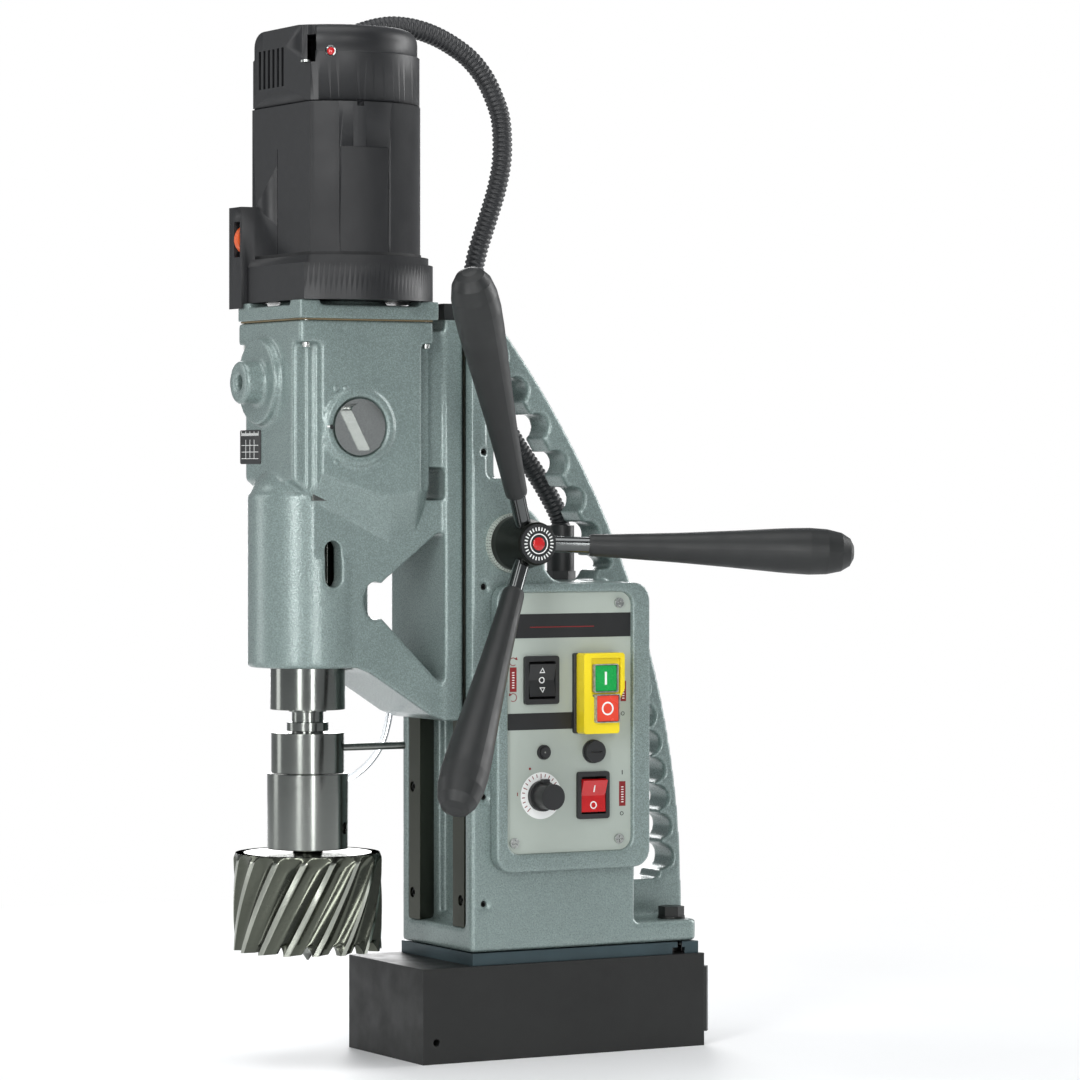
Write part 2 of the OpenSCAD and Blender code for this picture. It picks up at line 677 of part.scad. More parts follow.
module fuse_cap() {
    color("#3c3e40") difference() {
        union() {
            rod_x(face_x + 2.2, face_x + 5.5, fuse_c[0], fuse_c[1], 7.4);
            rod_x(face_x - 18, face_x + 2.3, fuse_c[0], fuse_c[1], 4.55);
        }
        box([face_x + 4.3, fuse_c[0] - 4.5, fuse_c[1] - 0.6], [face_x + 6, fuse_c[0] + 4.5,
            fuse_c[1] + 0.6]);
    }
}
module status_lamp() {
    color("#6d706c") union() {
        rod_x(face_x, face_x + 1.5, lamp_c[0], lamp_c[1], 5);
        rod_x(face_x - 9, face_x + 2.6, lamp_c[0], lamp_c[1], 3.4);
    }
}
module speed_knob() {
    color("#26282a") union() {
        rod_x(face_x + 0.6, face_x + 4, speed_c[0], speed_c[1], 10.5);
        rod_x(face_x + 4, face_x + 17.5, speed_c[0], speed_c[1], 8.8);
        box([face_x + 3.9, speed_c[0] - 2.5, speed_c[1]], [face_x + 8, speed_c[0] + 2.5,
            speed_c[1] + 11.5]);
        rod_x(face_x - 12, face_x + 0.7, speed_c[0], speed_c[1], 3);
    }
}
module control_board() {
    color("#2e6b46") union() {
        box([8, -34, 150], [9.6, 44, 300]);
        for (z = [165, 200, 235]) box([9.5, -20, z], [25, 6, z + 22]);
        for (z = [170, 205]) rod_x(9.5, 29, 30, z, 9);
    }
}
module cable_glands() {
    color("#232425") {
        // mains cable's gland on the back wall
        difference() {
            union() {
                rod_y(body_back, body_back + 3, 30, 140, 11);
                rod_y(body_back - 7, body_back + 16, 30, 140, 6.9);
            }
            rod_y(body_back - 8, body_back + 17, 30, 140, 4.5);
        }
        // conduit's gland on the shoulder
        translate([gland[0], gland[1], 0]) {
            translate([0, 0, body_top]) cylinder(h = 6, r = 10.6, $fn = 6);
            translate([0, 0, body_top - 9]) cylinder(h = 9 + eps, r = 4.95);
            translate([0, 0, body_top + 6 - eps]) cylinder(h = 32, r = 9.6);
        }
    }
}
module conduit() {
    color("#26272a") sweep(conduit_path, conduit_r, 10);
}

// ---------- head ----------

cavity_hw = 40.2;                // inside of the gear case
cavity_y0 = -185;
cavity_y1 = -104.5;
boss_z = 457;                   // round boss on the case's front
boss_x = -5;
boss_front = -218.5;
knob_y = -154.5;
knob_z = 427;
slot_z0 = 320;
slot_z1 = 351.5;
slot_w = 12;
pocket_z = 356;                 // gear pocket under the bearing plate
lug_x = 45;
case_screw_y = [-192.5, -102.5];
channel_z = 483;                // top of the corner channels, where the case screws' heads sit

// Side view of the slide and the two struts that carry the cylinder
module strut_outline() {
    polygon([[slide_back, head_z0], [-84, head_z0], [-95, 233], [-140, 262], [-150, quill_z0],
        [spindle_y, quill_z0], [spindle_y, case_z0], [slide_back, case_z0]]);
}
// Triangular window between the struts
module strut_window() {
    polygon(concat([[-85.3, 357], [-91, 355], [-132, 323]],
        [for (a = [60:20:300]) [-136.5 + 9 * cos(a), 311 + 13 * sin(a)]],
        [[-132, 299], [-91, 258], [-85.3, 254]]));
}
module case_outline() {
    polygon([[case_front, case_z1], [case_front, 392], [-184, 380], [-168, 366], [-150, 358],
        [-128, 351], [-108, 357], [-101, 368], [case_back, 384], [case_back, case_z1]]);
}
// Slide's plan: a plate in front of the rails and a dovetail tongue between them
module slide_plan() {
    polygon([[-slide_hw, -85.3], [slide_hw, -85.3], [slide_hw, slide_back],
        [rail_in - slide_gap, slide_back], [rail_in_back - slide_gap, recess_y - 0.4],
        [slide_gap - rail_in_back, recess_y - 0.4], [slide_gap - rail_in, slide_back],
        [-slide_hw, slide_back]]);
}
module head_casting() {
    color("#8a9c97") difference() {
        union() {
            translate([0, 0, head_z0]) linear_extrude(head_z1 - head_z0) slide_plan();
            side_extrude(-38, 38) difference() {
                strut_outline();
                strut_window();
            }
            rod_z(quill_z0, case_z0 + 4, 0, spindle_y, quill_r);
            side_extrude(-case_hw, case_hw) case_outline();
            // neck of the case on the slide
            box([-38, case_back - 1, 400], [38, -85, case_z1 - 6]);
            // front boss and the round cheek behind it
            rod_y(boss_front, case_front + 1, boss_x, boss_z, 14.5);
            rod_y(case_front - 6, case_front + 1, boss_x - 3, boss_z + 1, 29);
            // raised ring that the speed selector sits in
            rod_x(case_hw - 1, case_hw + 2.5, knob_y, knob_z, 25.5);
        }
        // inside of the case, open at the top
        box([-cavity_hw, cavity_y0, case_z0 + 0.01], [cavity_hw, cavity_y1, case_z1 + 1]);
        rod_z(pocket_z, case_z0 + 1, 0, spindle_y, 35.2);
        rod_z(pocket_z, case_z0 + 1, shaft_b[0], shaft_b[1], 14.5);
        rod_z(quill_z0 + 24, pocket_z + 1, 0, spindle_y, 26);
        rod_z(quill_z0 - 1, quill_z0 + 25, 0, spindle_y, 31);
        rod_z(quill_z0 - 6, quill_z0, 0, spindle_y, 26);
        // drift slot through both sides
        side_plate(-45, 45, spindle_y - slot_w / 2, spindle_y + slot_w / 2, slot_z0, slot_z1,
            slot_w / 2 - eps);
        // threaded hole of the front boss
        rod_y(boss_front - 1, boss_front + 16, boss_x, boss_z, 5);
        rod_x(cavity_hw - 1, case_hw + 3, knob_y, knob_z, 8 + run_gap);
        rod_x(case_hw - 3, case_hw + 3, knob_y, knob_z, 20);
        // rack seat in the tongue
        box([-9, -66, head_z0 - 1], [9, recess_y + 1, head_z1 + 1]);
        // case screws
        for (s = [-1, 1]) for (y = case_screw_y) rod_z(channel_z - 1, case_z1 + 1, s * lug_x, y, 1.55);
        // side channels that the case screws' heads sit in
        for (s = [-1, 1]) {
            box([s * 47.75 - 10.25, -206, 384], [s * 47.75 + 10.25, -187, channel_z]);
            box([s * 50 - 8, -206, 384], [s * 50 + 8, -182.5, channel_z]);
            box([s * 50 - 8, -107, 384], [s * 50 + 8, -98, channel_z]);
        }
        rod_x(-slide_hw - 1, 6 - slide_hw, -78, 262, 3);
    }
}

rack_z0 = 232;
rack_teeth = 42;
module feed_rack() {
    pitch = PI * pinion_m;
    color("#8b8f8c") side_extrude(-8.95, 8.95) polygon(concat([[-66, rack_z0], [-56.6, rack_z0]],
        [for (i = [0:rack_teeth - 1]) for (c = [[-56.6, -0.37], [-52.15, -0.13], [-52.15, 0.13],
            [-56.6, 0.37]]) [c[0], capstan_z + pitch * (i + 0.5 + c[1] - 18)]],
        [[-56.6, rack_z0 + 268], [-66, rack_z0 + 268]]));
}

module slide_bumper() {
    color("#242526") difference() {
        box([-36, -84, head_z1], [36, -72, cap_z + 12]);
        for (x = [-24, 24]) rod_z(head_z1 - 1, cap_z + 13, x, -78, 2.5);
    }
}

module case_plan(margin) {
    polygon([[-case_hw + margin, case_front + margin + 3], [-case_hw + margin + 3, case_front + margin],
        [case_hw - margin - 3, case_front + margin], [case_hw - margin, case_front + margin + 3],
        [case_hw - margin, case_back - margin], [-case_hw + margin, case_back - margin]]);
}
module case_holes(z0, z1, r) {
    for (s = [-1, 1]) for (y = case_screw_y) rod_z(z0, z1, s * lug_x, y, r);
}
module case_gasket() {
    color("#5a5348") difference() {
        translate([0, 0, case_z1]) linear_extrude(gasket_t) difference() {
            case_plan(0.4);
            translate([-cavity_hw + 1, cavity_y0 + 1])
                square([2 * cavity_hw - 2, cavity_y1 - cavity_y0 - 2]);
        }
        case_holes(case_z1 - 1, cap_z + 1, 1.6);
    }
}
module case_screws() {
    color("#9b9f9e") for (s = [-1, 1]) for (y = case_screw_y)
        translate([s * lug_x, y, channel_z - 3]) rotate([180, 0, 0]) cap_screw(3, 20, 3);
}
bearing_seat = 13;
shaft_seat = 11;
seat_deep = 8;
module case_cap() {
    color("#93a49f") difference() {
        union() {
            translate([0, 0, cap_z]) linear_extrude(cap_t - 3) case_plan(0);
            for (s = [-1, 1]) for (y = [-190, -101]) translate([s * 40 - 8, y - 8, cap_z])
                cube([16, 15, cap_t]);
            rod_z(cap_z, flange_z, 0, motor_y, 36);
        }
        rod_z(cap_z - 1, flange_z + 1, 0, motor_y, 6);
        for (p = [shaft_a, shaft_b]) rod_z(cap_z - 1, cap_z + seat_deep, p[0], p[1], shaft_seat);
        case_holes(cap_z - 1, cap_z + 8, 1.55);
    }
}
module bearing_plate() {
    color("#a4a8a6") difference() {
        box([-cavity_hw + 0.05, cavity_y0 + 0.05, case_z0 + 0.02], [cavity_hw - 0.05,
            cavity_y1 - 0.05, case_z0 + 10]);
        rod_z(case_z0 - 1, case_z0 + 11, 0, spindle_y, 14.8);
        rod_z(case_z0 - 1, case_z0 + 11, shaft_b[0], shaft_b[1], shaft_seat);
        rod_z(case_z0 + 2, case_z0 + 11, shaft_a[0], shaft_a[1], shaft_seat);
    }
}

// One ball bearing: two races and a ring of balls
module bearing(x, y, z0, z1, ro, ri, balls = 9) {
    mid = (ro + ri) / 2;
    ball = (ro - ri) * 0.29;
    race = (ro - ri) * 0.24;
    translate([x, y, 0]) {
        ring(z0, z1, ro, ro - race);
        ring(z0, z1, ri + race, ri);
        for (k = [0:balls - 1]) rotate(360 * k / balls) translate([mid, 0, (z0 + z1) / 2])
            sphere(r = min(ball, (ro - ri) / 2 - race) * 0.98, $fn = 24);
    }
}
spindle_r = 22;
module ball_bearings() {
    color("#b4b8b8") {
        bearing(0, spindle_y, quill_z0 + 6, quill_z0 + 24, 30.95, spindle_r + run_gap, 12);
        bearing(0, spindle_y, case_z0 + 0.1, case_z0 + 9.9, 14.75, 8 + run_gap, 8);
        bearing(shaft_b[0], shaft_b[1], case_z0 + 0.1, case_z0 + 9, shaft_seat - 0.05,
            shaft_r + run_gap, 8);
        bearing(shaft_a[0], shaft_a[1], case_z0 + 2.1, case_z0 + 9.9, shaft_seat - 0.05,
            shaft_r + run_gap, 8);
        for (p = [shaft_a, shaft_b]) bearing(p[0], p[1], cap_z + 0.1, cap_z + seat_deep - 0.1,
            shaft_seat - 0.05, shaft_r + run_gap, 8);
        bearing(0, motor_y, flange_z + 0.1, flange_z + 5.9, bearing_seat - 0.05, 5 + run_gap, 8);
        bearing(0, motor_y, 668, 677, 10.95, 4 + run_gap, 8);
        // grease seal under the lower spindle bearing
        translate([0, spindle_y, 0]) ring(quill_z0 + 0.5, quill_z0 + 5.9, 30.95, 25.3);
    }
}

// ---------- spindle and gear train ----------

taper_top = 11.5;
taper_bottom = 12.6;
nose_r = 25.2;
// The spindle's taper socket takes the arbor's shank; the drift slot crosses its top
module spindle() {
    color("#b9bdbb") translate([0, spindle_y, 0]) difference() {
        union() {
            translate([0, 0, 237.6]) cylinder(h = 34.2, r = nose_r);
            translate([0, 0, 271.7]) cylinder(h = 84.1, r = spindle_r);
            translate([0, 0, 355.7]) cylinder(h = 18.5, r = 12);
            translate([0, 0, 374.1]) cylinder(h = 20, r = 8);
        }
        translate([0, 0, 236]) cylinder(h = 92, r1 = taper_bottom, r2 = taper_top);
        box([-24, -3.7, 322], [24, 3.7, 349]);
    }
}
module spindle_gear() {
    color("#9a9482") translate([0, spindle_y, 0]) difference() {
        gear(z_spindle, m_third, 358.5, 373.5, heading([0, spindle_y], shaft_b) + 180 / z_spindle);
        translate([0, 0, 350]) cylinder(h = 30, r = 12.02);
    }
}
module output_shaft() {
    color("#8f918b") translate([shaft_b[0], shaft_b[1], 0]) union() {
        translate([0, 0, 357.5]) cylinder(h = cap_z + seat_deep - 358.5, r = shaft_r);
        gear(z_last_b, m_third, 358.5, 373.5, heading(shaft_b, [0, spindle_y]), 0.9);
        gear(z_fast_b, m_second, 430, 440, 0);
        gear(z_slow_b, m_second, 446, 456, heading(shaft_b, shaft_a) + 180 / z_slow_b);
        translate([0, 0, 440]) cylinder(h = 6, r = 12);
    }
}
module middle_shaft() {
    color("#94968f") translate([shaft_a[0], shaft_a[1], 0]) union() {
        translate([0, 0, case_z0 + 2.5]) cylinder(h = cap_z + seat_deep - case_z0 - 3, r = shaft_r);
        gear(z_fast_a, m_second, 417, 427, 0);
        translate([0, 0, 427]) cylinder(h = 19, r = 6.9);
        gear(z_slow_a, m_second, 446, 456, heading(shaft_a, shaft_b), 0.9);
        gear(z_first, m_first, 471, 483, heading(shaft_a, [0, motor_y]) + 180 / z_first);
    }
}
module armature() {
    color("#9a6a45") translate([0, motor_y, 0]) union() {
        translate([0, 0, 468]) cylinder(h = 18.5, r = 3.9);
        translate([0, 0, 486]) cylinder(h = 175, r = 5);
        translate([0, 0, 660.5]) cylinder(h = 20, r = 4);
        gear(z_motor, m_first, 470, 484, heading([0, motor_y], shaft_a), 1);
        // fan with its blades, laminated core, commutator
        translate([0, 0, 545]) cylinder(h = 2.5, r = 34);
        for (k = [0:11]) rotate(30 * k) box([18, -1, 547.4], [34, 1, 556]);
        for (k = [0:11]) rotate(30 * k) box([6, -3.6, 562], [23, 3.6, 622]);
        translate([0, 0, 562]) cylinder(h = 60, r = 16);
        translate([0, 0, 634]) cylinder(h = 20, r = 13);
    }
}

// ---------- motor ----------

drum_wall = 3.5;
flat_y = -189.2;
ring_flat_y = -196;
ring_r = 67.5;
trim_front = -200;               // front of the trim wheel's box, and the wheel's axis
trim_y = -190.5;
trim_z = 555;
// Drum about the motor's axis with a flat front
module drum(z0, z1, r, front) {
    intersection() {
        rod_z(z0, z1, 0, motor_y, r);
        box([-90, front, z0 - 1], [90, 0, z1 + 1]);
    }
}
module stator() {
    color("#7b7f84") translate([0, motor_y, 0]) difference() {
        cylinder(h = 624, r = 37.8);
        translate([0, 0, -1]) cylinder(h = 561, r = 60);
        translate([0, 0, 500]) cylinder(h = 200, r = 24);
        // flat that lies on the drum's
        box([-60, -60, 500], [60, flat_y + drum_wall - motor_y, 700]);
    }
}
module motor_housing() {
    color("#35363a") difference() {
        union() {
            drum(flange_z, flange_z + 24.4, ring_r, ring_flat_y);
            drum(flange_z + 24.4, drum_z, ring_r - 3, ring_flat_y + 3);
            drum(drum_z - 5, motor_cap_z, motor_r, flat_y);
            // box of the trim wheel, on the front left
            box([-58, trim_front, 508], [-38.5, -150, 577]);
        }
        drum(flange_z + 6, motor_cap_z + 1, motor_r - drum_wall, flat_y + drum_wall);
        rod_z(flange_z - 1, flange_z + 7, 0, motor_y, bearing_seat);
        difference() {
            box([-50, trim_front - 1, trim_z - 12], [-41, -179.5, trim_z + 12]);
            rod_x(-51, -40, trim_y, trim_z, 2);
        }
        box([-59, trim_front + 1.5, 507], [-38, -149, flange_z]);
    }
}
module motor_cap() {
    color("#303134") difference() {
        union() {
            cap_shell(motor_top - motor_cap_z);
            // seat of the armature's upper bearing
            translate([0, motor_y, 0]) ring(667, motor_top - 6, 15, 11);
            // block under the channel that the conduit leaves by
            box([-14, conduit_path[0][1] - 11, 681], [14, motor_y + motor_r - 5, motor_top - 1]);
        }
        sweep([for (i = [0:4]) conduit_path[i]], conduit_r + 3, 24);
    }
}
module cap_shell(h) {
    difference() {
        intersection() {
            translate([0, motor_y, motor_cap_z]) rotate_extrude($fn = 96)
                polygon(concat([[0, 0], [motor_r - 0.5, 0], [motor_r - 0.5, h - 19],
                    [motor_r - 2, h - 18]], [for (a = [0:15:90]) [motor_r - 12 + 10 * cos(a),
                    h - 10 + 10 * sin(a)]], [[0, h]]));
            box([-90, flat_y + 0.5, motor_cap_z - 1], [90, 0, motor_top + 1]);
        }
        drum(motor_cap_z - 1, motor_top - 7, motor_r - drum_wall - 0.5, flat_y + drum_wall);
        // air slots in the front
        for (k = [-3:2]) box([k * 7 - 14, flat_y - 1, 656], [k * 7 - 10.6, flat_y + 6, 682]);
    }
}
module trim_wheel() {
    color("#d9622d") difference() {
        rod_x(-48, -42.5, trim_y, trim_z, 10.5);
        rod_x(-49, -41, trim_y, trim_z, 2.05);
    }
}
module selector_knob() {
    color("#c3c7c5") difference() {
        union() {
            rod_x(case_hw - 2.8, case_hw + 1.5, knob_y, knob_z, 18.8);
            rod_x(cavity_hw - 8, case_hw, knob_y, knob_z, 8);
            side_extrude(case_hw + 1.4, case_hw + 10) translate([knob_y, knob_z]) rotate(-62)
                polygon(round_rect(33, 9, 3));
        }
        rod_x(cavity_hw - 9, cavity_hw - 3, knob_y, knob_z, 3);
    }
}

// ---------- coolant, arbor and cutter ----------

ring_z0 = 195;
ring_z1 = 222;
module coolant_ring() {
    color("#c2c6c5") difference() {
        union() {
            translate([0, spindle_y, 0]) ring(ring_z0, ring_z1, 24.5, 10.6 + run_gap);
            rod_y(spindle_y + 23, -96, 0, 211, 2.5);
        }
        rod_x(-26, -12, spindle_y, 208, 2);
    }
}
// Hose fittings: one in the ring, one in the slide's far side
module coolant_fittings() {
    color("#b9a468") {
        rod_x(-29, -20, spindle_y, 208, 1.95);
        rod_x(-28, -24.55, spindle_y, 208, 3.6);
        rod_x(-48, -slide_hw, -78, 262, 3.8);
        rod_x(-slide_hw - eps, 6 - slide_hw, -78, 262, 2.9);
    }
}
module coolant_tube() {
    color("#dfe6e8") sweep(tube_path, tube_r, 8);
}
module arbor() {
    color("#b6bab9") translate([0, spindle_y, 0]) difference() {
        union() {
            translate([0, 0, 144]) cylinder(h = 50.6, r = arbor_d / 2);
            translate([0, 0, 194.5]) cylinder(h = 42.5, r = 10.6);
            translate([0, 0, 223]) cylinder(h = 6, r = 14);
            translate([0, 0, 236]) cylinder(h = 91.9, r1 = taper_bottom - 0.02,
                r2 = taper_top - 0.02);
        }
        translate([0, 0, 140]) cylinder(h = 48, r = 9.55);
        translate([0, 0, 187]) cylinder(h = 46, r = 4.1);
        for (a = set_screw_a) rotate(a) rod_x(8, 40, 0, 158, 4);
    }
}
set_screw_a = [-140, 40];
cut_r = cutter_d / 2;
module core_cutter() {
    bore_r = cut_r - 7;
    color("#6f7468") translate([0, spindle_y, 0]) difference() {
        union() {
            difference() {
                translate([0, 0, 78]) cylinder(h = 63.3, r = cut_r - 1);
                translate([0, 0, 70]) cylinder(h = 60, r = bore_r);
                // helical gullets, each a stepped run of straight cuts
                for (k = [0:cutter_teeth - 1]) for (j = [0:5]) rotate(360 * k / cutter_teeth + 7 * j)
                    translate([cut_r + 0.5, 0, 77 + 9.7 * j]) cube([5, 7, 20], center = true);
            }
            // teeth
            for (k = [0:cutter_teeth - 1]) rotate(360 * k / cutter_teeth + 3)
                box([bore_r + 0.4, -0.5, 75.3], [cut_r - 1.2, 3.6, 78.1]);
            translate([0, 0, 141.2]) cylinder(h = 44, r = 9.5);
        }
        translate([0, 0, 120]) cylinder(h = 70, r = 4.1);
        for (a = set_screw_a) rotate(a) box([7.7, -8, 148], [12, 8, 168]);
    }
}
module set_screws() {
    color("#1e1f20") translate([0, spindle_y, 0]) for (a = set_screw_a) rotate(a) difference() {
        rod_x(7.8, 24, 0, 158, 3.95);
        translate([19, 0, 158]) rotate([0, 90, 0]) cylinder(h = 6, r = 2.2, $fn = 6);
    }
}
spring_turns = 7;
module ejector_spring() {
    color("#9a9d9d") translate([0, spindle_y, 0]) for (k = [0:spring_turns - 1])
        ring(190.5 + 5.6 * k, 192.5 + 5.6 * k, 3.9, 2.4);
}
module pilot_pin() {
    color("#a8acab") translate([0, spindle_y, 0]) union() {
        translate([0, 0, 68.6]) cylinder(h = 5, r1 = 0.6, r2 = 4);
        translate([0, 0, 73.5]) cylinder(h = 113, r = 4);
        translate([0, 0, 189]) cylinder(h = 0.5, r = 3.9);
        translate([0, 0, 186.4]) cylinder(h = 3, r = 3);
    }
}

magnet_body();
magnet_coils();
strap_bracket();
bracket_screws();
swivel_plate();
swivel_pin();
stand_foot();
stand_housing();
stand_column();
rear_handle();
guide_rails();
stand_screws();
capstan_bushes();
graduated_collar();
capstan_shaft();
capstan_hub();
hub_cap();
arm_rods();
arm_grips();
panel_frame();
panel_sheet();
panel_screws();
panel_sockets();
rotation_rocker();
magnet_rocker();
starter_box();
start_button();
stop_button();
fuse_cap();
status_lamp();
speed_knob();
control_board();
cable_glands();
conduit();
head_casting();
feed_rack();
slide_bumper();
case_gasket();
case_cap();
case_screws();
bearing_plate();
ball_bearings();
spindle();
spindle_gear();
output_shaft();
middle_shaft();
armature();
stator();
motor_housing();
motor_cap();
trim_wheel();
selector_knob();
coolant_ring();
coolant_fittings();
coolant_tube();
arbor();
core_cutter();
set_screws();
pilot_pin();
ejector_spring();
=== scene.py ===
"""Looks of the magnetic drill press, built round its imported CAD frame.

Lengths in the tables below are millimetres in the frame's axes: +Z up, the drill towards -Y,
the control panel and the capstan on the +X side. mm() turns them into metres.
"""
import math

import bmesh
import bpy
import numpy as np
from mathutils import Matrix, Vector


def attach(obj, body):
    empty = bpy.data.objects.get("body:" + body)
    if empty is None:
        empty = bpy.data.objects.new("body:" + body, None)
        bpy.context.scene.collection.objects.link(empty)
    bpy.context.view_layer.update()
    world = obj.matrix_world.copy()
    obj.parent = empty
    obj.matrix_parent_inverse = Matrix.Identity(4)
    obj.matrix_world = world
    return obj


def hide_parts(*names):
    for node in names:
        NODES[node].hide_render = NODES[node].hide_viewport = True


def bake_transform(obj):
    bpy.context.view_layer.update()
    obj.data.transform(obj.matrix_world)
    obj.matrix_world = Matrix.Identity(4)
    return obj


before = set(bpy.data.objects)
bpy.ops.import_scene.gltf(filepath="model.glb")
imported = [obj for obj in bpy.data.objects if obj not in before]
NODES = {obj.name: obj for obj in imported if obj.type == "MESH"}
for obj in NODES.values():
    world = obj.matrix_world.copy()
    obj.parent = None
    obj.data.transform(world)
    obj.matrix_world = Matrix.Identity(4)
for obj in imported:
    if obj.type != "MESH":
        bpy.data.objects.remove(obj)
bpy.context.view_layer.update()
scene = bpy.context.scene
MM = 0.001
SPINDLE = (0, -169, 0)          # a point on the spindle's axis, which is upright
CAPSTAN = (0, -40, 349)         # a point on the capstan's axis, which lies along X


def srgb(r, g, b):
    """Linear colour of an sRGB colour given from 0 to 255."""
    return tuple(c / 255 / 12.92 if c <= 10 else ((c / 255 + 0.055) / 1.055) ** 2.4
                 for c in (r, g, b)) + (1.0,)


# ---------------------------------------------------------------- camera, floor, light
cam = bpy.data.objects.new("camera", bpy.data.cameras.new("camera"))
scene.collection.objects.link(cam)
cam.location = (2.67094, -1.48778, 0.39280)
cam.rotation_euler = (math.radians(90), 0, math.radians(60.9456))
cam.data.lens, cam.data.sensor_width = 147.27, 36
cam.data.shift_x, cam.data.shift_y = 0.01671, -0.05697
cam.data.clip_end = 50
scene.camera = cam
scene.view_settings.view_transform = "Standard"


LIGHT_AIM = Vector((0, -0.05, 0.35))


def area_light(name, where, size, watts):
    """A white rectangle of light, places and sizes in metres, aimed at the machine's middle."""
    data = bpy.data.lights.new(name, "AREA")
    data.shape, data.size, data.size_y = "RECTANGLE", size[0], size[1]
    data.energy = watts
    o = bpy.data.objects.new(name, data)
    scene.collection.objects.link(o)
    o.location = where
    o.rotation_euler = (LIGHT_AIM - Vector(where)).to_track_quat("-Z", "Y").to_euler()


area_light("key", (1.5, -2.0, 1.0), (0.5, 1.8), 30)
area_light("second", (2.3, -0.6, 0.7), (0.3, 1.6), 18)
area_light("rim", (0.2, 2.2, 1.1), (0.8, 1.8), 34)
area_light("left", (-1.4, -1.9, 0.9), (0.7, 1.8), 9)
area_light("back_left", (-2.0, 0.8, 0.9), (0.9, 1.6), 22)
area_light("top", (0.3, -0.4, 2.3), (1.5, 1.5), 17)

world = bpy.data.worlds.new("studio")
scene.world = world
world.use_nodes = True
wt = world.node_tree
wt.nodes.clear()
w_out = wt.nodes.new("ShaderNodeOutputWorld")
w_mix = wt.nodes.new("ShaderNodeMixShader")
w_path = wt.nodes.new("ShaderNodeLightPath")
w_fill = wt.nodes.new("ShaderNodeBackground")
w_seen = wt.nodes.new("ShaderNodeBackground")
w_fill.inputs["Color"].default_value = (0.8, 0.83, 0.86, 1)
w_fill.inputs["Strength"].default_value = 0.36
w_seen.inputs["Color"].default_value = (1, 1, 1, 1)
wt.links.new(w_path.outputs["Is Camera Ray"], w_mix.inputs[0])
wt.links.new(w_fill.outputs[0], w_mix.inputs[1])
wt.links.new(w_seen.outputs[0], w_mix.inputs[2])
wt.links.new(w_mix.outputs[0], w_out.inputs["Surface"])


# ---------------------------------------------------------------- materials
class Mat:
    """A Principled material whose colour, roughness and bump come from patterns in space."""

    def __init__(self, name, rough=0.4, metal=0.0, spec=0.5, coat=0.0, coat_rough=0.1, **other):
        self.m = bpy.data.materials.new(name)
        self.m.use_nodes = True
        self.t = self.m.node_tree
        self.t.nodes.clear()
        self.out = self.t.nodes.new("ShaderNodeOutputMaterial")
        self.b = self.t.nodes.new("ShaderNodeBsdfPrincipled")
        self.t.links.new(self.b.outputs[0], self.out.inputs["Surface"])
        self.b.inputs["Metallic"].default_value = metal
        self.b.inputs["Roughness"].default_value = rough
        self.b.inputs["Specular IOR Level"].default_value = spec
        self.b.inputs["Coat Weight"].default_value = coat
        self.b.inputs["Coat Roughness"].default_value = coat_rough
        for k, v in other.items():
            self.b.inputs[k.replace("_", " ")].default_value = v
        self.coord = self.t.nodes.new("ShaderNodeTexCoord").outputs["Object"]

    def node(self, kind, **inputs):
        """A shader node with its inputs set to values or linked to other nodes' outputs."""
        n = self.t.nodes.new("ShaderNode" + kind)
        for k, v in inputs.items():
            s = n.inputs[k.replace("_", " ")]
            if isinstance(v, bpy.types.NodeSocket):
                self.t.links.new(v, s)
            else:
                s.default_value = v
        return n

    def scaled(self, s, centre=(0, 0, 0)):
        """The place in space, stretched by s along each axis about a centre in mm."""
        n = self.t.nodes.new("ShaderNodeMapping")
        n.inputs["Scale"].default_value = s
        n.inputs["Location"].default_value = [-c * MM * k for c, k in zip(centre, s)]
        self.t.links.new(self.coord, n.inputs["Vector"])
        return n.outputs[0]

    def noise(self, scale, detail=3.0, vector=None, rough=0.5):
        n = self.node("TexNoise", Scale=scale, Detail=detail, Roughness=rough,
                      Vector=vector or self.coord)
        return n.outputs["Fac"]

    def ramp(self, fac, stops):
        n = self.t.nodes.new("ShaderNodeValToRGB")
        self.t.links.new(fac, n.inputs[0])
        e = n.color_ramp.elements
        while len(e) < len(stops):
            e.new(0.5)
        for el, (p, c) in zip(e, stops):
            el.position = p
            el.color = c if hasattr(c, "__len__") else (c, c, c, 1)
        return n.outputs[0]

    def colour(self, fac, *stops):
        self.t.links.new(self.ramp(fac, stops), self.b.inputs["Base Color"])
        return self

    def shade(self, fac, lo, hi, f0=0.3, f1=0.7):
        """Roughness from lo to hi as the pattern goes from f0 to f1."""
        n = self.node("MapRange", Value=fac, From_Min=f0, From_Max=f1, To_Min=lo, To_Max=hi)
        self.t.links.new(n.outputs[0], self.b.inputs["Roughness"])
        return self

    def bump(self, fac, depth_mm, strength=1.0, round_mm=0.0):
        n = self.node("Bump", Height=fac, Strength=strength, Distance=depth_mm * MM)
        if round_mm:
            bevel = self.node("Bevel", Radius=round_mm * MM)
            bevel.samples = 4
            self.t.links.new(bevel.outputs[0], n.inputs["Normal"])
        for k in ("Normal", "Coat Normal"):
            self.t.links.new(n.outputs[0], self.b.inputs[k])
        return self


def math_node(m, op, a, b):
    n = m.t.nodes.new("ShaderNodeMath")
    n.operation = op
    for i, v in enumerate((a, b)):
        if isinstance(v, bpy.types.NodeSocket):
            m.t.links.new(v, n.inputs[i])
        else:
            n.inputs[i].default_value = v
    return n.outputs[0]


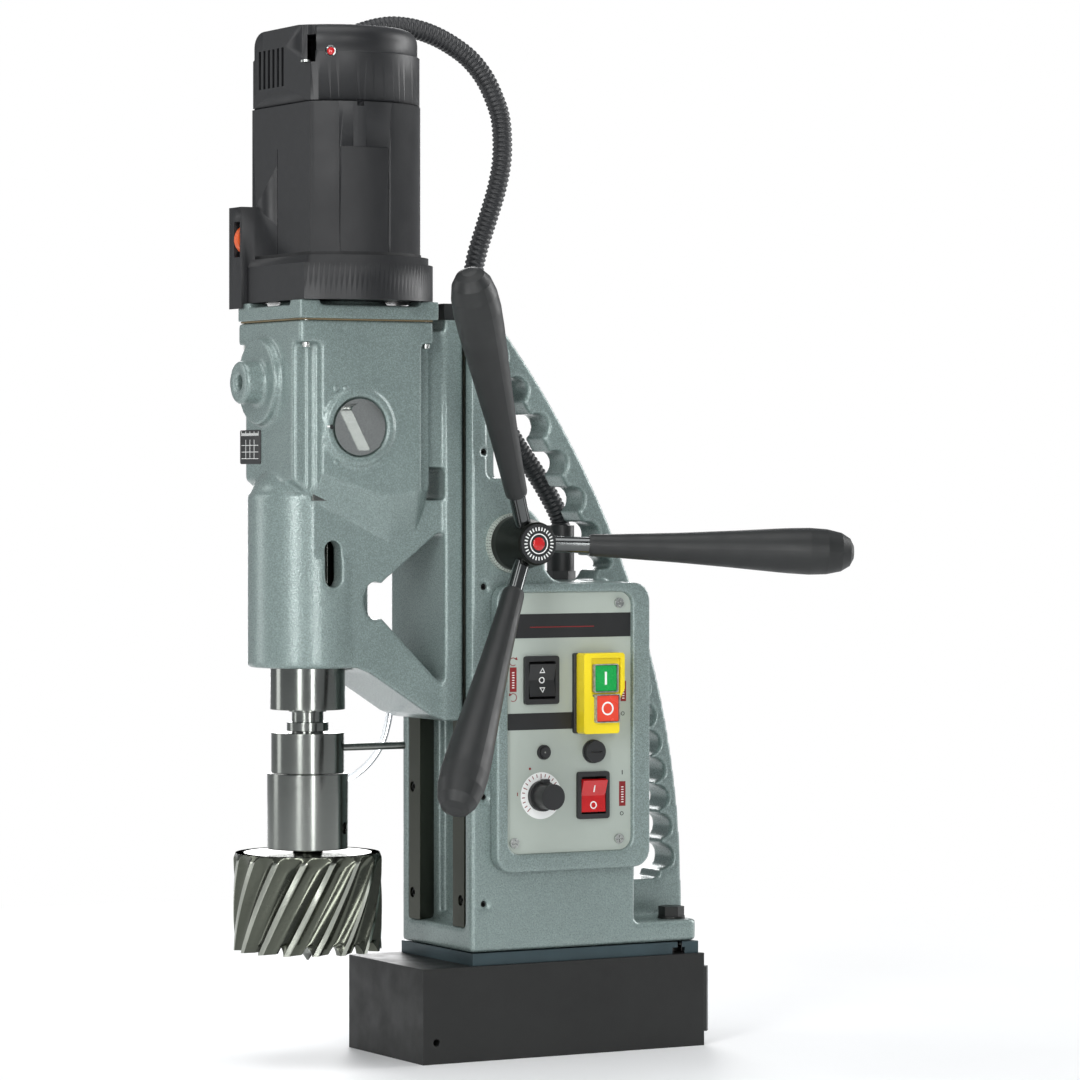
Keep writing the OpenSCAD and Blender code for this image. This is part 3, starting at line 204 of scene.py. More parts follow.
def hammertone(name, dark, mid, light, cell, depth):
    """Hammered paint: small pebbles with darker seams and a fine metallic fleck."""
    m = Mat(name, metal=0.25, coat=0.35, coat_rough=0.18)
    warp = m.node("TexNoise", Scale=260.0, Detail=2.0, Vector=m.coord)
    mix = m.t.nodes.new("ShaderNodeVectorMath")
    mix.operation = "MULTIPLY_ADD"
    m.t.links.new(warp.outputs["Color"], mix.inputs[0])
    mix.inputs[1].default_value = (0.0016,) * 3
    m.t.links.new(m.coord, mix.inputs[2])
    v = m.t.nodes.new("ShaderNodeTexVoronoi")
    v.feature = "SMOOTH_F1"
    v.inputs["Scale"].default_value = cell
    v.inputs["Smoothness"].default_value = 0.6
    m.t.links.new(mix.outputs[0], v.inputs["Vector"])
    pebble = m.node("MapRange", Value=v.outputs["Distance"], From_Min=0.15, From_Max=0.62,
                    To_Min=1.0, To_Max=0.0).outputs[0]
    fleck = m.noise(1500.0, 2.0)
    broad = m.noise(16.0, 3.0)
    tone = math_node(m, "ADD", math_node(m, "MULTIPLY", pebble, 0.5),
                     math_node(m, "ADD", math_node(m, "MULTIPLY", fleck, 0.42),
                               math_node(m, "MULTIPLY", broad, 0.16)))
    m.colour(tone, (0.3, dark), (0.55, mid), (0.85, light))
    m.shade(fleck, 0.22, 0.42)
    m.bump(pebble, depth, 0.8)
    return m


def tint(colour, factor):
    return tuple(min(1, c * factor) for c in colour[:3]) + (1,)


def grained(name, base, vary=0.06, rough=(0.42, 0.56), grain=900.0, depth=0.03, round_mm=0.0, **kw):
    """Moulded or painted surface with a fine grain and slow changes of tone."""
    m = Mat(name, **kw)
    m.colour(m.noise(22.0, 4.0), (0.3, tint(base, 1 - vary * 2)), (0.7, tint(base, 1 + vary * 2)))
    grains = m.noise(grain, 2.0)
    m.shade(m.noise(60.0, 5.0), *rough)
    m.bump(grains, depth, 0.6, round_mm)
    return m


def machined(name, base, stretch, centre=(0, 0, 0), rough=(0.16, 0.34), depth=0.012, vary=0.1,
             metal=1.0, round_mm=0.0, **kw):
    """Cut or ground metal: fine lines across the directions in which stretch is small."""
    m = Mat(name, metal=metal, **kw)
    lines = m.noise(1.0, 4.0, m.scaled(stretch, centre), 0.6)
    blot = math_node(m, "ADD", math_node(m, "MULTIPLY", lines, 0.6),
                     math_node(m, "MULTIPLY", m.noise(30.0, 5.0), 0.4))
    m.colour(blot, (0.3, tint(base, 1 - vary)), (0.7, tint(base, 1 + vary)))
    m.shade(blot, *rough)
    m.bump(lines, depth, 0.5, round_mm)
    return m


PAINT = hammertone("hammer_paint", srgb(118, 132, 130), srgb(128, 144, 141), srgb(139, 156, 153),
                   cell=820.0, depth=0.06)
MOTOR = grained("motor_plastic", srgb(23, 24, 26), 0.04, (0.4, 0.5), 1300.0, 0.015)
# near-black for the band that stands in for the shadowed gap above the motor's ring: painted shade
MOTOR_PAINTED_SHADE = grained("motor_shadow", srgb(20, 21, 22), 0.05, (0.6, 0.75))
MAGNET = grained("magnet_paint", srgb(21, 22, 21), 0.1, (0.42, 0.6), 420.0, 0.05, round_mm=1.0)
BRACKET = grained("bracket_black", srgb(36, 38, 37), 0.1, (0.38, 0.52), 500.0, 0.04, round_mm=0.8)
PLATE = grained("swivel_plate_paint", srgb(56, 72, 77), 0.08, (0.3, 0.44), 700.0, 0.03,
                metal=0.4, round_mm=0.5)
RAIL = machined("rail_steel", srgb(72, 74, 66), (900, 900, 6), rough=(0.26, 0.42), depth=0.01,
                round_mm=0.4)
SHAFT = machined("turned_steel", srgb(134, 137, 133), (60, 60, 2600), SPINDLE, (0.1, 0.24),
                 0.006, 0.05, round_mm=0.9)
SHAFT_X = machined("turned_steel_x", srgb(190, 192, 190), (2600, 60, 60), CAPSTAN, (0.14, 0.3))
TOOL = machined("ground_tool_steel", srgb(92, 95, 86), (240, 240, 700), SPINDLE,
                (0.14, 0.3), 0.008, 0.12)
TOOL_EDGE = machined("ground_tool_edge", srgb(170, 173, 163), (500, 500, 900), SPINDLE,
                     (0.1, 0.22), 0.006, 0.08)
CHROME = machined("dark_chrome", srgb(96, 98, 98), (80, 80, 80), rough=(0.06, 0.16), depth=0.003)
ZINC = machined("zinc_screw", srgb(190, 193, 190), (300, 300, 300), rough=(0.18, 0.34), round_mm=0.3)
OXIDE = machined("black_oxide", srgb(38, 39, 38), (400, 400, 400), rough=(0.3, 0.45), metal=0.7,
                 round_mm=0.3)
HUB = machined("blackened_hub", srgb(44, 46, 42), (2200, 120, 120), CAPSTAN, (0.24, 0.4),
               0.012, metal=0.8)
GRIP = grained("grip_rubber", srgb(26, 28, 28), 0.06, (0.42, 0.56), 1600.0, 0.025)
BLACK = grained("switch_plastic", srgb(36, 37, 38), 0.05, (0.34, 0.5), 1400.0, 0.015, round_mm=0.3)
SHEET = grained("panel_sheet_paint", srgb(166, 175, 167), 0.02, (0.34, 0.44), 1500.0, 0.006)
YELLOW = grained("starter_yellow", srgb(236, 212, 30), 0.04, (0.3, 0.42), 1300.0, 0.01, round_mm=0.5)
GREEN = grained("button_green", srgb(14, 160, 72), 0.04, (0.2, 0.3), 1300.0, 0.006, round_mm=0.4)
RED = grained("button_red", srgb(226, 70, 50), 0.04, (0.2, 0.3), 1300.0, 0.006, round_mm=0.4)
ROCKER_RED = grained("rocker_red", srgb(190, 22, 26), 0.05, (0.12, 0.22), 1300.0, 0.004, coat=0.5)
WHITE = grained("print_white", srgb(236, 238, 236), 0.02, (0.4, 0.5))
INK = grained("print_black", srgb(28, 29, 30), 0.05, (0.36, 0.48))
INK_RED = grained("print_red", srgb(128, 26, 28), 0.05, (0.36, 0.48))
ORANGE = grained("wheel_orange", srgb(214, 92, 44), 0.06, (0.3, 0.42))
BRASS = machined("brass", srgb(196, 164, 92), (300, 300, 300), rough=(0.16, 0.32))
BRONZE = machined("bronze", srgb(168, 128, 72), (1600, 60, 60), CAPSTAN, (0.2, 0.36))
COPPER = machined("copper_wire", srgb(190, 104, 58), (1800, 300, 1800), rough=(0.2, 0.4), depth=0.05)
RESIN = grained("potting_resin", srgb(24, 24, 24), 0.1, (0.2, 0.4), 200.0, 0.05)
BOARD = grained("circuit_board", srgb(30, 92, 58), 0.1, (0.3, 0.5), 900.0, 0.03)
GASKET = grained("gasket_paper", srgb(104, 92, 66), 0.1, (0.6, 0.8), 700.0, 0.05)
RUBBER = grained("conduit_rubber", srgb(40, 41, 43), 0.08, (0.36, 0.5), 1200.0, 0.02)
GEARS = machined("gear_steel", srgb(150, 146, 132), (500, 500, 1400), rough=(0.2, 0.36))
POLISHED = machined("polished_knob", srgb(206, 209, 206), (60, 900, 900), (0, -154, 426.4),
                    (0.08, 0.2), 0.004, 0.06)
TUBE = Mat("clear_tube", rough=0.08, Transmission_Weight=1.0, IOR=1.4)
TUBE.colour(TUBE.noise(60.0), (0.3, (0.86, 0.9, 0.92, 1)), (0.7, (0.95, 0.97, 0.98, 1)))
LENS = Mat("lamp_lens", rough=0.15, coat=0.6)
LENS.colour(LENS.noise(400.0), (0.3, srgb(120, 122, 118)), (0.7, srgb(168, 170, 164)))

# CAD nodes that keep their own mesh, with the material each one gets
FINISH = {
    "magnet_body": MAGNET, "magnet_coils": RESIN,
    "strap_bracket": BRACKET, "bracket_screws": OXIDE, "swivel_plate": PLATE, "swivel_pin": SHAFT,
    "stand_foot": PAINT, "stand_housing": PAINT, "stand_column": PAINT, "rear_handle": PAINT,
    "guide_rails": RAIL, "stand_screws": OXIDE,
    "capstan_bushes": BRONZE, "graduated_collar": SHEET, "capstan_shaft": SHAFT_X,
    "capstan_hub": HUB, "hub_cap": BLACK, "arm_rods": CHROME, "arm_grips": GRIP,
    "panel_frame": PAINT, "panel_sheet": SHEET, "panel_screws": ZINC, "panel_sockets": BLACK,
    "rotation_rocker": BLACK, "magnet_rocker": ROCKER_RED, "starter_box": YELLOW,
    "start_button": GREEN, "stop_button": RED, "fuse_cap": BLACK,
    "status_lamp": BLACK, "speed_knob": BLACK, "control_board": BOARD, "cable_glands": BLACK,
    "conduit": RUBBER, "head_casting": PAINT, "feed_rack": GEARS, "slide_bumper": BLACK,
    "case_gasket": GASKET, "case_cap": PAINT, "case_screws": ZINC, "bearing_plate": SHAFT,
    "ball_bearings": ZINC, "spindle": SHAFT, "spindle_gear": GEARS, "output_shaft": GEARS,
    "middle_shaft": GEARS, "armature": COPPER, "stator": GEARS, "motor_housing": MOTOR,
    "motor_cap": MOTOR, "trim_wheel": ORANGE, "selector_knob": POLISHED, "coolant_ring": SHAFT,
    "coolant_fittings": BRASS, "coolant_tube": TUBE, "arbor": SHAFT, "core_cutter": TOOL,
    "set_screws": OXIDE, "pilot_pin": SHAFT, "ejector_spring": ZINC,
}
for name, mat in FINISH.items():
    o = NODES[name]
    o.data.materials.clear()
    o.data.materials.append(mat.m)


# ---------------------------------------------------------------- mesh kit
def mesh_of(name, shape):
    """A mesh from a shape, that is a pair of points in mm and faces."""
    me = bpy.data.meshes.new(name)
    me.from_pydata([tuple(Vector(v) * MM) for v in shape[0]], [], shape[1])
    return me


def face_outwards(me):
    bm = bmesh.new()
    bm.from_mesh(me)
    bmesh.ops.recalc_face_normals(bm, faces=bm.faces)
    bm.to_mesh(me)
    bm.free()


def place(name, me, mat, body, smooth):
    """A piece with a finished mesh, riding on a body; smooth is the sharp-edge angle."""
    me.materials.clear()
    me.materials.append(mat.m)
    shade(me, smooth)
    o = bpy.data.objects.new(name, me)
    scene.collection.objects.link(o)
    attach(o, body)
    return o


def piece(name, verts, faces, mat, body, smooth=35, slot=None):
    """A piece made straight from points in mm and faces."""
    me = mesh_of(name, (verts, faces))
    me.validate()
    face_outwards(me)
    return place(name, me, mat, body, smooth)


def shade(me, angle):
    """Smooth shading but for edges sharper than the angle in degrees; 0 is flat."""
    me.polygons.foreach_set("use_smooth", [angle > 0] * len(me.polygons))
    if 0 < angle < 180:
        me.set_sharp_from_angle(angle=math.radians(angle))
    me.update()


def catmull(points, step):
    """Points every `step` along a smooth curve through the given ones."""
    p = [Vector(q) for q in points]
    p = [2 * p[0] - p[1]] + p + [2 * p[-1] - p[-2]]
    dense = []
    for i in range(1, len(p) - 2):
        for k in range(24):
            t = k / 24
            dense.append(0.5 * ((2 * p[i]) + (p[i + 1] - p[i - 1]) * t
                         + (2 * p[i - 1] - 5 * p[i] + 4 * p[i + 1] - p[i + 2]) * t * t
                         + (3 * p[i] - p[i - 1] - 3 * p[i + 1] + p[i + 2]) * t ** 3))
    dense.append(p[-2])
    along = [0.0]
    for a, b in zip(dense, dense[1:]):
        along.append(along[-1] + (b - a).length)
    n = max(2, round(along[-1] / step))
    out, j = [], 0
    for i in range(n + 1):
        s = along[-1] * i / n
        while j < len(along) - 2 and along[j + 1] < s:
            j += 1
        f = (s - along[j]) / max(1e-9, along[j + 1] - along[j])
        out.append(dense[j].lerp(dense[j + 1], f))
    return out, along[-1]


def tube(points, radii, sides):
    """Verts and faces of a closed tube whose radius changes along its points."""
    verts, faces = [], []
    d = (points[1] - points[0]).normalized()
    u = d.orthogonal().normalized()
    for i, p in enumerate(points):
        e = (points[min(i + 1, len(points) - 1)] - points[max(i - 1, 0)]).normalized()
        u = (u - e * u.dot(e)).normalized()
        w = e.cross(u)
        for k in range(sides):
            a = 2 * math.pi * k / sides
            verts.append(p + radii[i] * (math.cos(a) * u + math.sin(a) * w))
    for i in range(len(points) - 1):
        for k in range(sides):
            a, b = i * sides + k, i * sides + (k + 1) % sides
            faces.append((a, b, b + sides, a + sides))
    last = (len(points) - 1) * sides
    faces.append(tuple(range(sides))[::-1])
    faces.append(tuple(last + k for k in range(sides)))
    return verts, faces


def evaluated(o):
    """The object's mesh with its modifiers applied, and the object removed."""
    scene.collection.objects.link(o)
    me = bpy.data.meshes.new_from_object(o.evaluated_get(bpy.context.evaluated_depsgraph_get()))
    bpy.data.objects.remove(o)
    return me


def cast(name, nodes, voxel, body, mat, extra=(), sculpt=None, soft=4):
    """One smooth casting from CAD shapes and extra closed shapes, with softened edges."""
    bm = bmesh.new()
    for n in nodes:
        bm.from_mesh(NODES[n].data)
    for shape in extra:
        bm.from_mesh(mesh_of("extra", shape))
    me = bpy.data.meshes.new(name)
    bm.to_mesh(me)
    bm.free()
    o = bpy.data.objects.new(name + "_rough", me)
    mod = o.modifiers.new("remesh", "REMESH")
    mod.mode, mod.voxel_size = "VOXEL", voxel * MM
    me = evaluated(o)
    if sculpt:
        co = np.empty(len(me.vertices) * 3, np.float32)
        me.vertices.foreach_get("co", co)
        co = co.reshape(-1, 3) / MM
        sculpt(co)
        me.vertices.foreach_set("co", (co * MM).ravel())
    bm = bmesh.new()
    bm.from_mesh(me)
    for _ in range(soft):
        bmesh.ops.smooth_vert(bm, verts=bm.verts, factor=0.5, use_axis_x=True, use_axis_y=True,
                              use_axis_z=True)
    bm.to_mesh(me)
    bm.free()
    o = place(name, me, mat, body, 180)
    for n in nodes:
        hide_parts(n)
    return o


def frame_of(axis):
    """Two directions square to an axis, and the axis itself."""
    return {"x": (Vector((0, 1, 0)), Vector((0, 0, 1)), Vector((1, 0, 0))),
            "y": (Vector((0, 0, 1)), Vector((1, 0, 0)), Vector((0, 1, 0))),
            "z": (Vector((1, 0, 0)), Vector((0, 1, 0)), Vector((0, 0, 1)))}[axis]


def lathe(profile, centre, axis="z", sides=72):
    """Closed turned shape from (radius, along) points about an axis through centre."""
    u, w, a = frame_of(axis)
    verts, faces, n = [], [], len(profile)
    for k in range(sides):
        t = 2 * math.pi * k / sides
        d = math.cos(t) * u + math.sin(t) * w
        verts += [Vector(centre) + r * d + h * a for r, h in profile]
    for k in range(sides):
        for i in range(n):
            p, q = k * n, (k + 1) % sides * n
            j = (i + 1) % n
            faces.append((p + i, q + i, q + j, p + j))
    return verts, faces


def slab(outline, lo, hi, axis="x"):
    """Outline of pairs square to an axis, pulled from lo to hi."""
    put = {"x": lambda p, h: (h, p[0], p[1]), "y": lambda p, h: (p[0], h, p[1]),
           "z": lambda p, h: (p[0], p[1], h)}[axis]
    n = len(outline)
    verts = [put(p, lo) for p in outline] + [put(p, hi) for p in outline]
    faces = [tuple(range(n))[::-1], tuple(range(n, 2 * n))]
    faces += [(i, (i + 1) % n, (i + 1) % n + n, i + n) for i in range(n)]
    return verts, faces


def band(outer, inner, lo, hi, axis="x"):
    """Closed ring between two outlines of the same count."""
    n = len(outer)
    a, b = slab(outer, lo, hi, axis)[0], slab(inner, lo, hi, axis)[0]
    verts, faces = a + b, []
    for i in range(n):
        j = (i + 1) % n
        faces += [(i, j, j + n, i + n), (i + 2 * n, i + 3 * n, j + 3 * n, j + 2 * n),
                  (i + n, j + n, j + 3 * n, i + 3 * n), (j, i, i + 2 * n, j + 2 * n)]
    return verts, faces


def join(*shapes):
    """Several shapes as one."""
    verts, faces = [], []
    for v, f in shapes:
        faces += [tuple(i + len(verts) for i in q) for q in f]
        verts += list(v)
    return verts, faces


def rrect(y, z, w, h, r):
    """Rectangle with rounded corners, about its middle."""
    n = 5
    out = []
    for k, (a, b) in enumerate(((1, 1), (-1, 1), (-1, -1), (1, -1))):
        for i in range(n + 1):
            t = math.radians(90 * k + 90 * i / n)
            out.append((y + a * (w / 2 - r) + r * math.cos(t), z + b * (h / 2 - r) + r * math.sin(t)))
    return out


def disc(y, z, r, n=32, turn=0.0):
    """Circle of n points."""
    return [(y + r * math.cos(2 * math.pi * k / n + turn), z + r * math.sin(2 * math.pi * k / n + turn))
            for k in range(n)]


def bevelled(name, shape, mat, body, width):
    """A piece whose edges are rounded by a bevel."""
    o = bpy.data.objects.new(name + "_sharp", mesh_of(name, shape))
    mod = o.modifiers.new("bevel", "BEVEL")
    mod.width, mod.segments, mod.limit_method = width * MM, 2, "ANGLE"
    mod.angle_limit = math.radians(30)
    return place(name, evaluated(o), mat, body, 35)


# ---------------------------------------------------------------- castings
def taper_case(co):
    """Slopes the gear case's underside in from its sides."""
    y, z = co[:, 1], co[:, 2]
    inside = (y < -96) & (y > -197)        # the gear case, seen from the side
    side = np.interp(y, [-197, -186.6, -136.6, -109, -98], [400, 397, 380.5, 385, 402])
    low = np.interp(y, [-197, -188, -151, -128, -107, -98], [390, 380, 363, 350, 357, 382])
    reach = 38.0 + 10.0 * np.clip((z - low) / (side - low), 0, 1)
    hit = inside & (z < side) & (np.abs(co[:, 0]) > reach) & (z > 340)
    co[hit, 0] = np.sign(co[hit, 0]) * reach[hit]


blend_cone = lathe([(0, 368), (40.4, 368), (40.4, 379), (36, 389), (27, 400), (0, 404)],
                   SPINDLE)
cast("head_casting_smooth", ["head_casting"], 1.35, "head", PAINT, [blend_cone], taper_case)
cast("stand_casting", ["stand_foot", "stand_housing", "stand_column", "rear_handle"], 1.6, "stand",
     PAINT)
cast("case_cap_casting", ["case_cap"], 1.2, "head", PAINT, soft=3)
cast("panel_frame_casting", ["panel_frame"], 1.1, "stand", PAINT, soft=4)

# ---------------------------------------------------------------- core cutter
TEETH, CUT_R, CUT_IN = 16, 50.0, 43.0
CUT_TIP, CUT_H = 75.3, 66.0     # height of the tips over the floor, and of the toothed wall
LEAD = math.radians(38.7) / CUT_H    # turn of a flute for each mm of height
LAND, GULLET = 0.2, 0.62        # where the flute and the gullet start, as parts of one tooth
FLUTE_DEEP, FLUTE_FADE = 4.6, 8.0


def cutter_radius(t, h):
    """Outside radius at a place t within a tooth, 0 at its leading edge, and a height h."""
    s = max(0.0, (t - LAND) / (1 - LAND))
    dip = FLUTE_DEEP * math.sin(math.pi * min(1, s)) ** 0.7 if s > 0 else 0.0
    dip *= min(1, max(0, (CUT_H - h) / FLUTE_FADE)) ** 0.5
    if h > CUT_H - 4:
        return min(CUT_R - dip, CUT_R - (h - CUT_H + 4) * 0.35)
    return CUT_R - dip


def cutter_height(t, h):
    """Height of a point: the lower edge rises from the tip and arches up before the next tooth."""
    if h >= 8:
        return CUT_TIP + h
    edge = 0.4 + 1.6 * t
    if t >= GULLET:
        edge = 1.5 + 5.2 * math.sin(math.pi * (t - GULLET) / (1 - GULLET))
    return CUT_TIP + edge + (8.4 - edge) * h / 8


def cutter_shape():
    """Wall of the cutter as a grid of rings: concave flutes between narrow lands, arched gullets."""
    per = 24                    # points round one tooth
    n = TEETH * per
    heights = [0, 0.9, 1.8, 2.8, 4, 5.2, 6.4, 7.6] + [9.5 + 2.3 * k for k in range(21)] + \
        [58.5, 59.5, 60.5, 61.5, 62.3, 63.2, 64.2, 65.2, 66.0]
    verts = []
    for side in (0, 1):
        for h in heights:
            for k in range(n):
                t = (k % per) / per
                a = 2 * math.pi * k / n + LEAD * h
                r = cutter_radius(t, h) if side == 0 else CUT_IN
                verts.append((r * math.cos(a), SPINDLE[1] + r * math.sin(a), cutter_height(t, h)))
    rows = len(heights)
    faces = []
    for side in (0, 1):
        base = side * rows * n
        for i in range(rows - 1):
            for k in range(n):
                p, q = base + i * n + k, base + i * n + (k + 1) % n
                faces.append((p, q, q + n, p + n))
    last = rows - 1
    for k in range(n):
        j = (k + 1) % n
        faces.append((k, j, rows * n + j, rows * n + k))
        faces.append((last * n + k, last * n + j, (rows + last) * n + j, (rows + last) * n + k))
    return verts, faces


wall = cutter_shape()
crown = lathe([(4.1, 130), (43.2, 130), (43.2, 141.0), (45.5, 141.29), (48.6, 141.29), (48.6, 141.3),
               (10.5, 141.3), (9.5, 142.2), (9.5, 184.2), (8.5, 185.2), (4.1, 185.2)],
              SPINDLE)
cutter = piece("core_cutter_ground", *join(wall, crown), TOOL, "spindle", 28, "cutter_steel")
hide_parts("core_cutter")
cutter.data.materials.append(TOOL_EDGE.m)
for face in cutter.data.polygons:
    x, y, z = face.center / MM
    if math.hypot(x, y - SPINDLE[1]) > CUT_R - 0.4 and z < 138:
        face.material_index = 1    # ground lands

# ---------------------------------------------------------------- motor
MOTOR_Y = -150                  # motor axis
FLAT_Y = -189.2                 # flat front of the drum


def drum_outline(r, flat):
    """Plan of the motor: a circle about its axis with the front cut flat."""
    return [(x, max(flat, y)) for x, y in disc(0, MOTOR_Y, r, 96)]


def carve(name, blank, cuts, mat, body):
    """A piece made from a mesh with shapes cut out of it."""
    base = bpy.data.objects.new(name + "_blank", blank)
    cutters = []
    for shape in cuts:
        me = mesh_of("cut", shape)
        face_outwards(me)
        cutter_object = bpy.data.objects.new("cut", me)
        scene.collection.objects.link(cutter_object)
        cutters.append(cutter_object)
        mod = base.modifiers.new("cut", "BOOLEAN")
        mod.operation, mod.solver, mod.object = "DIFFERENCE", "EXACT", cutter_object
    bpy.context.view_layer.update()
    me = evaluated(base)
    for o in cutters:
        bpy.data.objects.remove(o)
    return place(name, me, mat, body, 30)


def wedge(angle, width, r0, r1, z0, z1):
    """Block standing out from the motor's axis at an angle in degrees."""
    a = math.radians(angle)
    d, e = Vector((math.cos(a), math.sin(a), 0)), Vector((-math.sin(a), math.cos(a), 0))
    axis = Vector((0, MOTOR_Y, 0))
    c = [axis + d * r + e * s * width / 2 for r, s in ((r0, -1), (r1, -1), (r1, 1), (r0, 1))]
    return slab([(q.x, q.y) for q in c], z0, z1, "z")


def arc(r, a0, a1):
    """Arc about the motor axis between two angles in degrees."""
    n = 24
    return [(r * math.cos(math.radians(a0 + (a1 - a0) * k / n)),
             MOTOR_Y + r * math.sin(math.radians(a0 + (a1 - a0) * k / n))) for k in range(n + 1)]


seam = band(drum_outline(64, FLAT_Y - 4), drum_outline(57.6, FLAT_Y + 1.2), 643.0, 643.9, "z")
pocket = slab(disc(39.5, -191.5, 8.6, 32), 669, 702, "z")
notch = wedge(-8.5, 4.6, 57, 62, 640, 644.5)
cap = carve("motor_cap_moulding", NODES["motor_cap"].data.copy(), [seam, pocket, notch], MOTOR, "head")
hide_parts("motor_cap")
label = slab(arc(58.5, -22, 12) + arc(62, 12, -22), 612.6, 613.1, "z")
groove = [(-5.5, FLAT_Y - 2), (-4.7, FLAT_Y - 2), (-4.7, FLAT_Y + 0.5), (-5.5, FLAT_Y + 0.5)]
drum = carve("motor_drum_moulding", NODES["motor_housing"].data.copy(),
             [label, wedge(-22, 0.5, 58.5, 62, 542, 613), wedge(12, 0.5, 58.5, 62, 542, 613),
              slab(groove, 543, 614, "z"), notch], MOTOR, "head")
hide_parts("motor_housing")
# dark band where the ring meets the drum: painted shade of the gap between them
piece("motor_shadow_band", *band(drum_outline(59.6, FLAT_Y - 0.6), drum_outline(58.4, FLAT_Y + 0.6),
      541.2, 543.4, "z"), MOTOR_PAINTED_SHADE, "head", 30, "motor_black")
piece("cap_screw_light", *lathe([(0, 669.1), (3.6, 669.1), (3.6, 670.2), (3.1, 670.7), (1.6, 670.7),
      (1.3, 669.9), (0, 669.9)], (39.0, -189.6, 0), "z", 32), ZINC, "head", 30, "steel")


def radial_dot(name, angle, z, profile, mat):
    """Small turned piece standing out of the drum at an angle."""
    v, f = lathe(profile, (0, 0, 0), "x", 28)
    turn = Matrix.Rotation(math.radians(angle), 3, "Z")
    return piece(name, [turn @ q + Vector((0, MOTOR_Y, z)) for q in v], f, mat, "head", 40, "motor_black")


radial_dot("cap_dot_rim", -28, 676, [(2.6, 57.5), (3.9, 57.5), (3.9, 59.0), (3.4, 59.4), (2.6, 59.2)], CHROME)
radial_dot("cap_dot_red", -28, 676, [(0, 57.6), (2.6, 57.6), (2.6, 58.7), (1.6, 59.3), (0, 59.5)],
           ROCKER_RED)

# ---------------------------------------------------------------- gear case trim
PLATE_MARK = (-198.75, -198.6)  # from and to in Y of the marks on the gear case's plate
rows = [slab([(x - 0.25, 421.6), (x + 0.25, 421.6), (x + 0.25, 423.4 if i % 5 else 424.6),
              (x - 0.25, 423.4 if i % 5 else 424.6)], *PLATE_MARK, "y")
        for i, x in enumerate(np.linspace(-41, -15, 21))]
rows += [slab([(-41, z), (-15, z), (-15, z + 0.35), (-41, z + 0.35)], *PLATE_MARK, "y")
         for z in (406, 410.5, 415)]
rows += [slab([(x - 0.2, 406), (x + 0.2, 406), (x + 0.2, 419), (x - 0.2, 419)], *PLATE_MARK, "y")
         for x in (-34.5, -28, -21.5)]
bevelled("speed_plate", slab(rrect(-27.8, 414, 31.8, 23, 1.5), -198.6, -197.9, "y"), INK, "head", 0.2)
piece("speed_plate_ticks", *join(*rows), WHITE, "head", 0, "panel_grey")
for i, (y, z) in enumerate(((-172, 452.3), (-164.7, 452.4), (-172, 403.5))):
    piece("case_dot_%d" % i, *lathe([(0, 47.5), (2.5, 47.5), (2.5, 48.1), (2.0, 48.9), (1.1, 49.3),
          (0, 49.4)], (0, y, z), "x", 28), PAINT, "head", 60, "grey_paint")
# flat black disc for the dark inside of a small hole by the selector: painted shade
piece("selector_hole_painted_shade", *lathe([(0, 50.2), (1.5, 50.2), (1.5, 50.62), (0, 50.62)], (0, -176.2, 427),
      "x", 24), INK, "head", 30, "black_plastic")
piece("selector_mark", *slab(rrect(-178.6, 427.3, 2.2, 1.2, 0.3), 50.3, 50.65), WHITE, "head", 30,
      "panel_grey")

# ---------------------------------------------------------------- control panel print
FACE = 58.0                     # outer face of the panel sheet, X


def printed(name, shapes, mat, slot="panel_grey", hi=FACE + 0.12, body="stand"):
    """Thin print on the panel's face from outlines or whole shapes."""
    solid = [s if isinstance(s, tuple) else slab(s, FACE - 0.05, hi) for s in shapes]
    return piece(name, *join(*solid), mat, body, 0, slot)


def rect(y0, y1, z0, z1):
    """Rectangle between two places along Y and two along Z."""
    return [(y0, z0), (y1, z0), (y1, z1), (y0, z1)]


def ring(y, z, outer, inner, lo=FACE - 0.05, hi=FACE + 0.14, n=32):
    """Thin circle as a closed shape."""
    return band(disc(y, z, outer, n), disc(y, z, inner, n), lo, hi)


printed("panel_bands", [rect(-47.9, 48.9, 284.6, 301), rect(-47.9, 3.3, 222.5, 233.8)], INK,
        "black_plastic")
printed("panel_label_bars", [rect(-45.6, -40.4, 248.5, 265.1), rect(41.1, 45.4, 240.2, 254.1),
        rect(39.9, 44.9, 168.5, 185.4), rect(-30, 20, 291.7, 292.3)], INK_RED, "red_plastic", hi=FACE + 0.16)
bars = []
for y, z0, z1 in ((-43, 251, 263), (43.2, 242, 252.5), (42.4, 171, 183)):
    n = max(3, round((z1 - z0) / 1.7))
    bars += [rect(y - 0.9, y + 0.9, z0 + k * 1.7, z0 + k * 1.7 + 0.6) for k in range(n)]
printed("panel_label_ticks", bars, WHITE, hi=FACE + 0.19)
arrows = []
for z, d in ((268.9, 1), (244.7, -1)):
    pts = [math.radians(40 + 270 * k / 20) for k in range(21)]
    arrows.append([(-43 + d * 2.9 * math.cos(t), z + 2.9 * math.sin(t)) for t in pts]
                  + [(-43 + d * 2.4 * math.cos(t), z + 2.4 * math.sin(t)) for t in reversed(pts)])
    arrows.append([(-43 + d * 3.4, z + 1.0), (-43 + d * 1.2, z + 1.6), (-43 + d * 2.8, z + 3.2)])
printed("panel_arrows", arrows, INK_RED, "red_plastic")
printed("panel_symbols", [ring(42.8, 231.8, 1.4, 0.95), ring(42.0, 163.4, 1.4, 0.95),
        rect(42.1, 42.7, 190, 193)], INK, "black_plastic")
DIAL = (-21.4, 177.7)           # middle of the speed dial


def tick(centre, angle, r0, r1, w):
    """Straight mark pointing away from a centre, w wide on each side of its middle."""
    d, e = (math.cos(angle), math.sin(angle)), (-math.sin(angle), math.cos(angle))
    return [(centre[0] + d[0] * r + e[0] * s, centre[1] + d[1] * r + e[1] * s)
            for r, s in ((r0, -w), (r1, -w), (r1, w), (r0, w))]


